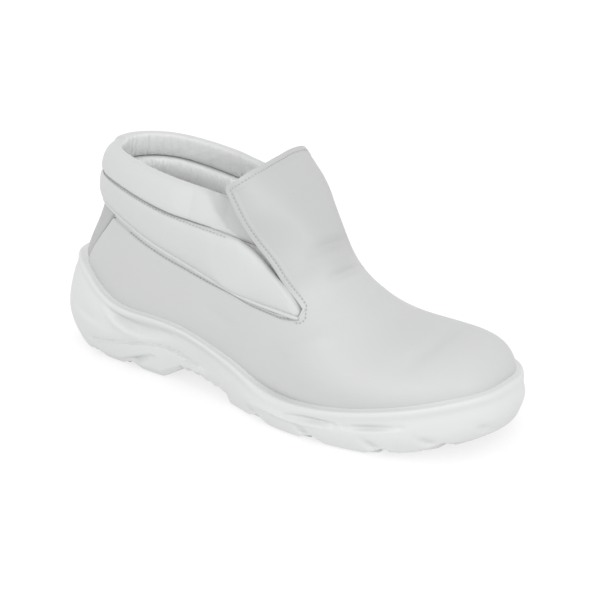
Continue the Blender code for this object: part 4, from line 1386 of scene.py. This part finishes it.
def make_roll(name, node, low_share, high_share, *, front, crest, half, round_end, tuck, seam_up, seed):
    """One roll between two lines round the collar. Its creases gather at the seam, above or below it."""
    sizes = bpy.context.scene.boot_sizes
    turns, length = collar_turns(front, lambda turn: (low_share(turn) + high_share(turn)) / 2, ROLL_STATIONS)
    low = low_share(turns)
    high = np.maximum(high_share(turns), low)
    along = np.linspace(0, length, ROLL_STATIONS)
    ends = np.clip(np.minimum(along, length - along) / round_end, 0, 1)
    height = np.linalg.norm(form_surface(high, turns) - form_surface(low, turns), axis=1)
    full = np.minimum(half, ROLL_FULLNESS * height) * np.sqrt(1 - (1 - ends) ** 2)
    angles = back_angles(turns)
    loose = beside_flap(angles)
    pressed = tuck * (1 - loose)
    back = soft_step((angles - FLAP_TUCK_SPAN[0]) / (math.pi - FLAP_TUCK_SPAN[0]) * 2 - 1)
    inside = full * ROLL_INSIDE + pressed / PRESSED_WALL
    outside = np.maximum(full - pressed, GAP - inside / 2) + BACK_FULLNESS * back
    theta = np.linspace(0, 2 * math.pi, ROLL_POINTS)
    climb = (1 - np.cos(theta)) / 2
    side = np.sign(np.sin(theta)) * np.abs(np.sin(theta)) ** ROLL_SQUARENESS
    swell = np.where(side > 0, outside[:, None] * side, inside[:, None] * side)
    lean = (crest - ROLL_MIDDLE) * (1 - BACK_LEAN / abs(ROLL_CREST) * back)
    rise = ROLL_TIP_RISE * (1 - full / half) - ROLL_DIVE * soft_between(angles, *ROLL_DIVE_SPAN)
    to_seam = climb if seam_up else 1 - climb
    lift = SEAM_RISE * loose[:, None] * to_seam**SEAM_POWER * (1 + side) / 2
    middle = ROLL_MIDDLE + lean[:, None] * climb + rise[:, None] + lift
    # Where the leather is gathered it gets fine creases and, in its material, painted light
    gather = soft_step(-np.sin(theta) * GATHER_EDGE) * (GATHER[0] + (GATHER[1] - GATHER[0]) * to_seam)
    gather = gather * (full / half)[:, None]
    fold = -sizes.wrinkle / MM * wrinkles(along, seed)[:, None] * gather
    share = low[:, None] + (high - low)[:, None] * climb
    # Painted shadow of the flap on the upper roll beside it
    flap_shadow = soft_step((np.interp(climb, *np.transpose(FLAP_SHADOW_EDGE)) - angles[:, None]) / FLAP_SHADOW_SOFTNESS + 0.5)
    # Painted shade in the wrinkles' creases, plus the flap's painted shadow
    painted_shade = fold * WRINKLE_PAINTED_SHADE + FLAP_SHADOW_STRENGTH * flap_shadow * (tuck > 0)
    bm = bmesh.new()
    lay_grid(bm, form_points(share, turns[:, None], middle + swell + fold), painted_shade, gather)
    close_mesh(bm)
    roll = add_piece(name, bm, ["soft leather"], [node])


def make_rolls():
    """The two padded rolls of the collar."""
    def lower_low(turn):
        over_piping = share_at(shifted(TOPLINE, PIPING_RADIUS - ROLL_LAP), turn)
        return np.maximum(over_piping, share_at(ROLL_TIP, turn))

    def lower_high(turn):
        return np.minimum(collar_share(SEAM, SEAM_INNER, -SEAM_GAP, turn), share_at(ROLL_FRONT, turn))

    def upper_low(turn):
        return collar_share(SEAM, SEAM_INNER, SEAM_GAP, turn)

    def upper_high(turn):
        return collar_share(RIM, RIM_INNER, 0.0, turn)

    make_roll("collar_lower_padding", "collar_lower_roll", lower_low, lower_high, front=LOWER_ROLL_END,
              crest=ROLL_MIDDLE, half=LOWER_ROLL_HALF, round_end=ROLL_ROUND_ENDS["lower"], tuck=0.0,
              seam_up=True, seed=ROLL_SEEDS["lower"])
    make_roll("collar_upper_padding", "collar_upper_roll", upper_low, upper_high, front=UPPER_ROLL_END,
              crest=ROLL_CREST, half=UPPER_ROLL_HALF, round_end=ROLL_ROUND_ENDS["upper"], tuck=FLAP_TUCK,
              seam_up=False, seed=ROLL_SEEDS["upper"])


def make_piping():
    """Piping along the quarters' top line, drawn out at both ends."""
    def share_of(turn):
        return share_at(TOPLINE, turn)

    turns, length = collar_turns(PIPING_END, share_of, PIPING_STATIONS)
    path = form_points(share_of(turns), turns, PIPING_OUT)
    out = form_normal(share_of(turns), turns)
    up = unit(np.cross(unit(np.gradient(path, axis=0)), out))
    along = np.linspace(0, length, len(turns))
    ends = np.minimum(along, length - along)
    radius = PIPING_RADIUS * np.sqrt(np.clip(1 - (1 - np.clip(ends / PIPING_TAPER, 0, 1)) ** 2, 0, 1))
    theta = np.linspace(0, 2 * math.pi, PIPING_POINTS)
    ring = np.cos(theta)[None, :, None] * out[:, None, :] + np.sin(theta)[None, :, None] * up[:, None, :]
    bm = bmesh.new()
    lay_grid(bm, path[:, None, :] + radius[:, None, None] * ring)
    close_mesh(bm)
    add_piece("collar_piping_cord", bm, ["soft leather"], ["collar_piping"])


def make_gussets():
    """Elastic gussets behind the flap's edges."""
    spans = np.linspace(*turn_of(np.array(GUSSET_SPAN)), GUSSET_COLUMNS)
    for node, sign in (("gusset_outer", 1.0), ("gusset_inner", -1.0)):
        low = share_at(TOPLINE, spans)
        high = share_at(shifted(SEAM, -GUSSET_UNDER_SEAM), spans)
        share = low + (high - low) * np.linspace(0, 1, GUSSET_ROWS)[:, None]
        bm = bmesh.new()
        lay_grid(bm, form_points(share, sign * spans[None, :], -GUSSET_DEPTH))
        face_out(bm)
        gusset = add_piece(node + "_elastic", bm, ["woven elastic"], [node])
        add_wall(gusset, GUSSET_WALL * MM)


def make_insole():
    """Footbed that fills the upper from wall to wall."""
    sizes = bpy.context.scene.boot_sizes
    tree = form_tree(-sizes.wall / MM - GAP)
    outer, inner = [], []
    for x in np.linspace(*INSOLE_ENDS, INSOLE_STATIONS):
        z = floor_height(x) + INSOLE_TOP
        mid = np.interp(x, *INSOLE_MIDDLE)
        hits = [tree.ray_cast(Vector((x, mid, z)), Vector((0, way, 0)))[0] for way in (-1, 1)]
        if None not in hits:
            outer.append((x, hits[0].y + GAP, z))
            inner.append((x, hits[1].y - GAP, z))
    outer, inner = np.array(outer), np.array(inner)
    top = across(outer, inner, INSOLE_COLUMNS)
    top[..., 2] += INSOLE_RIM * np.linspace(-1, 1, INSOLE_COLUMNS) ** INSOLE_RIM_POWER
    bm = bmesh.new()
    lay_grid(bm, top)
    bmesh.ops.recalc_face_normals(bm, faces=bm.faces)
    if sum(face.normal.z for face in bm.faces) < 0:
        bmesh.ops.reverse_faces(bm, faces=bm.faces)
    insole = add_piece("insole_felt", bm, ["lining felt"], ["insole"])
    add_wall(insole, INSOLE_WALL * MM)


# Stitches

def sew(bm, path, normals, pitch, length, radius):
    """Row of stitches along a path, each lying on the surface."""
    steps = path_lengths(path)
    ahead = np.gradient(path, axis=0)
    around, along = STITCH_FACES
    for place in np.arange(pitch / 2, steps[-1], pitch):
        spot, way, up = [Vector([np.interp(place, steps, column) for column in rows.T])
                         for rows in (path, ahead, normals)]
        way.normalize()
        up = (up - way * up.dot(way)).normalized()
        turned = Matrix((way, up.cross(way), up)).transposed().to_4x4()
        shape = Matrix.Diagonal((length / 2, radius, radius * STITCH_FLATNESS, 1.0))
        bmesh.ops.create_uvsphere(bm, u_segments=around, v_segments=along, radius=1.0,
                                  matrix=Matrix.Translation(spot * MM) @ turned @ shape)


def flap_path(inset):
    """Path along the flap's outer edge, top edge and inner edge, at an inset: shares and turns."""
    corners = flap_edges(1.0)
    heights = [np.linalg.norm(form_surface(flap_share(turn, 1.0), turn) - form_surface(NOTCH_SHARE, turn))
               for turn in corners]
    rises = [1 - inset / height for height in heights]
    sides = []
    for share in np.linspace(FLAP_STITCH_FROM, 1, STITCH_SAMPLES["flap side"]):
        for which in (0, 1):
            def share_of(turn):
                return flap_share(turn, share * rises[which])
            inner, outer = flap_edges(share * rises[which])
            width = even_turns(share_of, inner, outer, [0, 1])[1]
            spot = inset / width if which == 0 else 1 - inset / width
            turn = even_turns(share_of, inner, outer, [spot])[0][0]
            sides.append((share_of(turn), turn))
    inner, outer = np.array(sides[0::2]), np.array(sides[1::2])
    top = np.linspace(outer[-1, 1], inner[-1, 1], STITCH_SAMPLES["flap top"])[1:-1]
    top = np.column_stack([lowered(flap_share(top, 1.0), top, inset), top])
    return np.vstack([outer, top, inner[::-1]]).T


def make_stitches():
    """Stitches along the flap's edges, under the piping and along the seam between the rolls."""
    sizes = bpy.context.scene.boot_sizes
    pitch, length, radius = sizes.stitch_pitch / MM, sizes.stitch_length, sizes.thread
    bm = bmesh.new()
    corner = [place_on_form(*place) for place in line_points(NOTCH_STITCHES, STITCH_SAMPLES["notch"])]
    shares, turns = np.hstack([np.transpose(corner), flap_path(sizes.stitch_inset / MM)])
    lift = leather_dent(form_surface(shares, turns)) + radius / MM / 2
    sew(bm, form_points(shares, turns, lift), form_normal(shares, turns), pitch, length, radius)

    def under_piping(turn):
        return lowered(topline_share(turn), turn, SEAM_BELOW)

    turns, _ = collar_turns(PIPING_END, under_piping, STITCH_SAMPLES["collar"])
    back = np.abs(turns - 2) > 2 - panel_turn(under_piping) + PANEL_STITCH_GAP
    for part in (turns[back & (turns < 2)], turns[back & (turns > 2)]):
        shares = under_piping(part)
        lift = leather_dent(form_surface(shares, part)) - SEAM_DEPTH / 2
        normals = form_normal(shares, part)
        sew(bm, form_points(shares, part, lift), normals, pitch, length, radius * QUARTER_THREAD)

    def along_seam(turn):
        return collar_share(SEAM, SEAM_INNER, -SEAM_STITCH_DROP, turn)

    turns, _ = collar_turns(SEAM_STITCH_FROM, along_seam, STITCH_SAMPLES["collar"])
    shares = along_seam(turns)
    lift = SEAM_STITCH + SEAM_RISE * beside_flap(back_angles(turns)) * SEAM_STITCH_RISE
    sew(bm, form_points(shares, turns, lift), form_normal(shares, turns), pitch, length, radius)
    bmesh.ops.recalc_face_normals(bm, faces=bm.faces)
    for face in bm.faces:
        face.smooth = True
    add_piece("stitches", bm, ["sewing thread"])


# Stage

def add_area(name, place, target, size, power):
    """Soft square light that looks at the target."""
    light = bpy.data.lights.new(name, "AREA")
    light.shape = "SQUARE"
    light.size = size
    light.energy = power
    lamp = bpy.data.objects.new(name, light)
    lamp.location = place
    lamp.rotation_euler = (Vector(target) - Vector(place)).to_track_quat("-Z", "Y").to_euler()
    bpy.context.scene.collection.objects.link(lamp)


def make_stage():
    """Floor, sky, lights and camera."""
    scene = bpy.context.scene
    bm = bmesh.new()
    bmesh.ops.create_grid(bm, x_segments=FLOOR_GRID, y_segments=FLOOR_GRID, size=FLOOR_SIZE)
    mesh = bpy.data.meshes.new("floor")
    bm.to_mesh(mesh)
    bm.free()
    material = bpy.data.materials.new("studio floor")
    material.use_nodes = True
    inputs = material.node_tree.nodes["Principled BSDF"].inputs
    inputs["Base Color"].default_value = (*scene.boot_colours.floor, 1.0)
    inputs["Roughness"].default_value = FLOOR_ROUGHNESS
    inputs["Emission Color"].default_value = WHITE
    inputs["Emission Strength"].default_value = FLOOR_GLOW
    mesh.materials.append(material)
    floor = bpy.data.objects.new("floor", mesh)
    scene.collection.objects.link(floor)

    world = bpy.data.worlds.new("studio")
    world.use_nodes = True
    sky = world.node_tree.nodes["Background"]
    sky.inputs["Color"].default_value = WHITE
    sky.inputs["Strength"].default_value = SKY
    scene.world = world
    target = [value * MM for value in VIEW_TARGET]
    for name, place, size, power in LIGHTS:
        add_area(name, place, target, size, power)

    azimuth, height = math.radians(VIEW_AZIMUTH), math.radians(VIEW_HEIGHT)
    level = math.cos(height)
    back = Vector((math.sin(azimuth) * level, -math.cos(azimuth) * level, math.sin(height)))
    right = Vector((math.cos(azimuth), math.sin(azimuth), 0.0))
    up = back.cross(right)
    data = bpy.data.cameras.new("camera")
    data.sensor_width = SENSOR
    data.lens = SENSOR * VIEW_SCALE * VIEW_DISTANCE / PICTURE
    data.shift_x = (PICTURE / 2 - VIEW_CENTRE[0]) / PICTURE
    data.shift_y = (VIEW_CENTRE[1] - PICTURE / 2) / PICTURE
    data.clip_start = VIEW_NEAREST
    camera = bpy.data.objects.new("camera", data)
    turned = Matrix((right, up, back)).transposed().to_4x4()
    camera.matrix_world = Matrix.Translation(Vector(target) + back * VIEW_DISTANCE * MM) @ turned
    scene.collection.objects.link(camera)
    scene.camera = camera
    scene.view_settings.view_transform = "Standard"


class BootOperator:
    """What the boot's operators share."""

    bl_options = {"REGISTER", "UNDO"}
    build = None

    def execute(self, context):
        """Build the piece. A failure raises an error and stops the script."""
        type(self).build()
        return {"FINISHED"}


class BOOT_OT_sole(BootOperator, bpy.types.Operator):
    """Make the moulded cup sole with its tread"""

    bl_idname = "boot.sole"
    bl_label = "Sole"
    build = staticmethod(make_sole)


class BOOT_OT_upper(BootOperator, bpy.types.Operator):
    """Make the leather upper with its stand-up flap"""

    bl_idname = "boot.upper"
    bl_label = "Upper"
    build = staticmethod(make_upper)


class BOOT_OT_heel_panel(BootOperator, bpy.types.Operator):
    """Make the panel between the quarters"""

    bl_idname = "boot.heel_panel"
    bl_label = "Heel panel"
    build = staticmethod(make_heel_panel)


class BOOT_OT_rolls(BootOperator, bpy.types.Operator):
    """Make the two padded rolls of the collar"""

    bl_idname = "boot.rolls"
    bl_label = "Collar rolls"
    build = staticmethod(make_rolls)


class BOOT_OT_piping(BootOperator, bpy.types.Operator):
    """Make the piping along the top line"""

    bl_idname = "boot.piping"
    bl_label = "Piping"
    build = staticmethod(make_piping)


class BOOT_OT_gussets(BootOperator, bpy.types.Operator):
    """Make the elastic gussets behind the flap's edges"""

    bl_idname = "boot.gussets"
    bl_label = "Gussets"
    build = staticmethod(make_gussets)


class BOOT_OT_insole(BootOperator, bpy.types.Operator):
    """Make the footbed"""

    bl_idname = "boot.insole"
    bl_label = "Insole"
    build = staticmethod(make_insole)


class BOOT_OT_stitches(BootOperator, bpy.types.Operator):
    """Sew the flap, the quarters and the collar"""

    bl_idname = "boot.stitches"
    bl_label = "Stitches"
    build = staticmethod(make_stitches)


class BOOT_OT_stage(BootOperator, bpy.types.Operator):
    """Set up floor, lights and camera"""

    bl_idname = "boot.stage"
    bl_label = "Stage"
    build = staticmethod(make_stage)


PIECE_OPERATORS = (
    BOOT_OT_sole,
    BOOT_OT_upper,
    BOOT_OT_heel_panel,
    BOOT_OT_rolls,
    BOOT_OT_piping,
    BOOT_OT_gussets,
    BOOT_OT_insole,
    BOOT_OT_stitches,
    BOOT_OT_stage,
)


class BOOT_PT_panel(bpy.types.Panel):
    """Sizes, colours and pieces of the boot"""

    bl_idname = "BOOT_PT_panel"
    bl_label = "Safety boot"
    bl_space_type = "VIEW_3D"
    bl_region_type = "UI"
    bl_category = "Boot"

    def draw(self, context):
        """List the sizes, the colours and a button for each piece."""
        for group in (context.scene.boot_sizes, context.scene.boot_colours):
            for name in group.__annotations__:
                self.layout.prop(group, name)
        for operator in PIECE_OPERATORS:
            self.layout.operator(operator.bl_idname)


CLASSES = (BootSizes, BootColours, *PIECE_OPERATORS, BOOT_PT_panel)


def register():
    """Register the classes and put the sizes and colours on the scene."""
    for item in CLASSES:
        bpy.utils.register_class(item)
    bpy.types.Scene.boot_sizes = PointerProperty(type=BootSizes)
    bpy.types.Scene.boot_colours = PointerProperty(type=BootColours)


def unregister():
    """Take the sizes, the colours and the classes away again."""
    del bpy.types.Scene.boot_colours
    del bpy.types.Scene.boot_sizes
    for item in reversed(CLASSES):
        bpy.utils.unregister_class(item)


def main():
    """Build the boot and its studio."""
    register()
    bpy.ops.boot.sole()
    bpy.ops.boot.upper()
    bpy.ops.boot.heel_panel()
    bpy.ops.boot.rolls()
    bpy.ops.boot.piping()
    bpy.ops.boot.gussets()
    bpy.ops.boot.insole()
    bpy.ops.boot.stitches()
    bpy.ops.boot.stage()


if __name__ == "__main__":
    main()
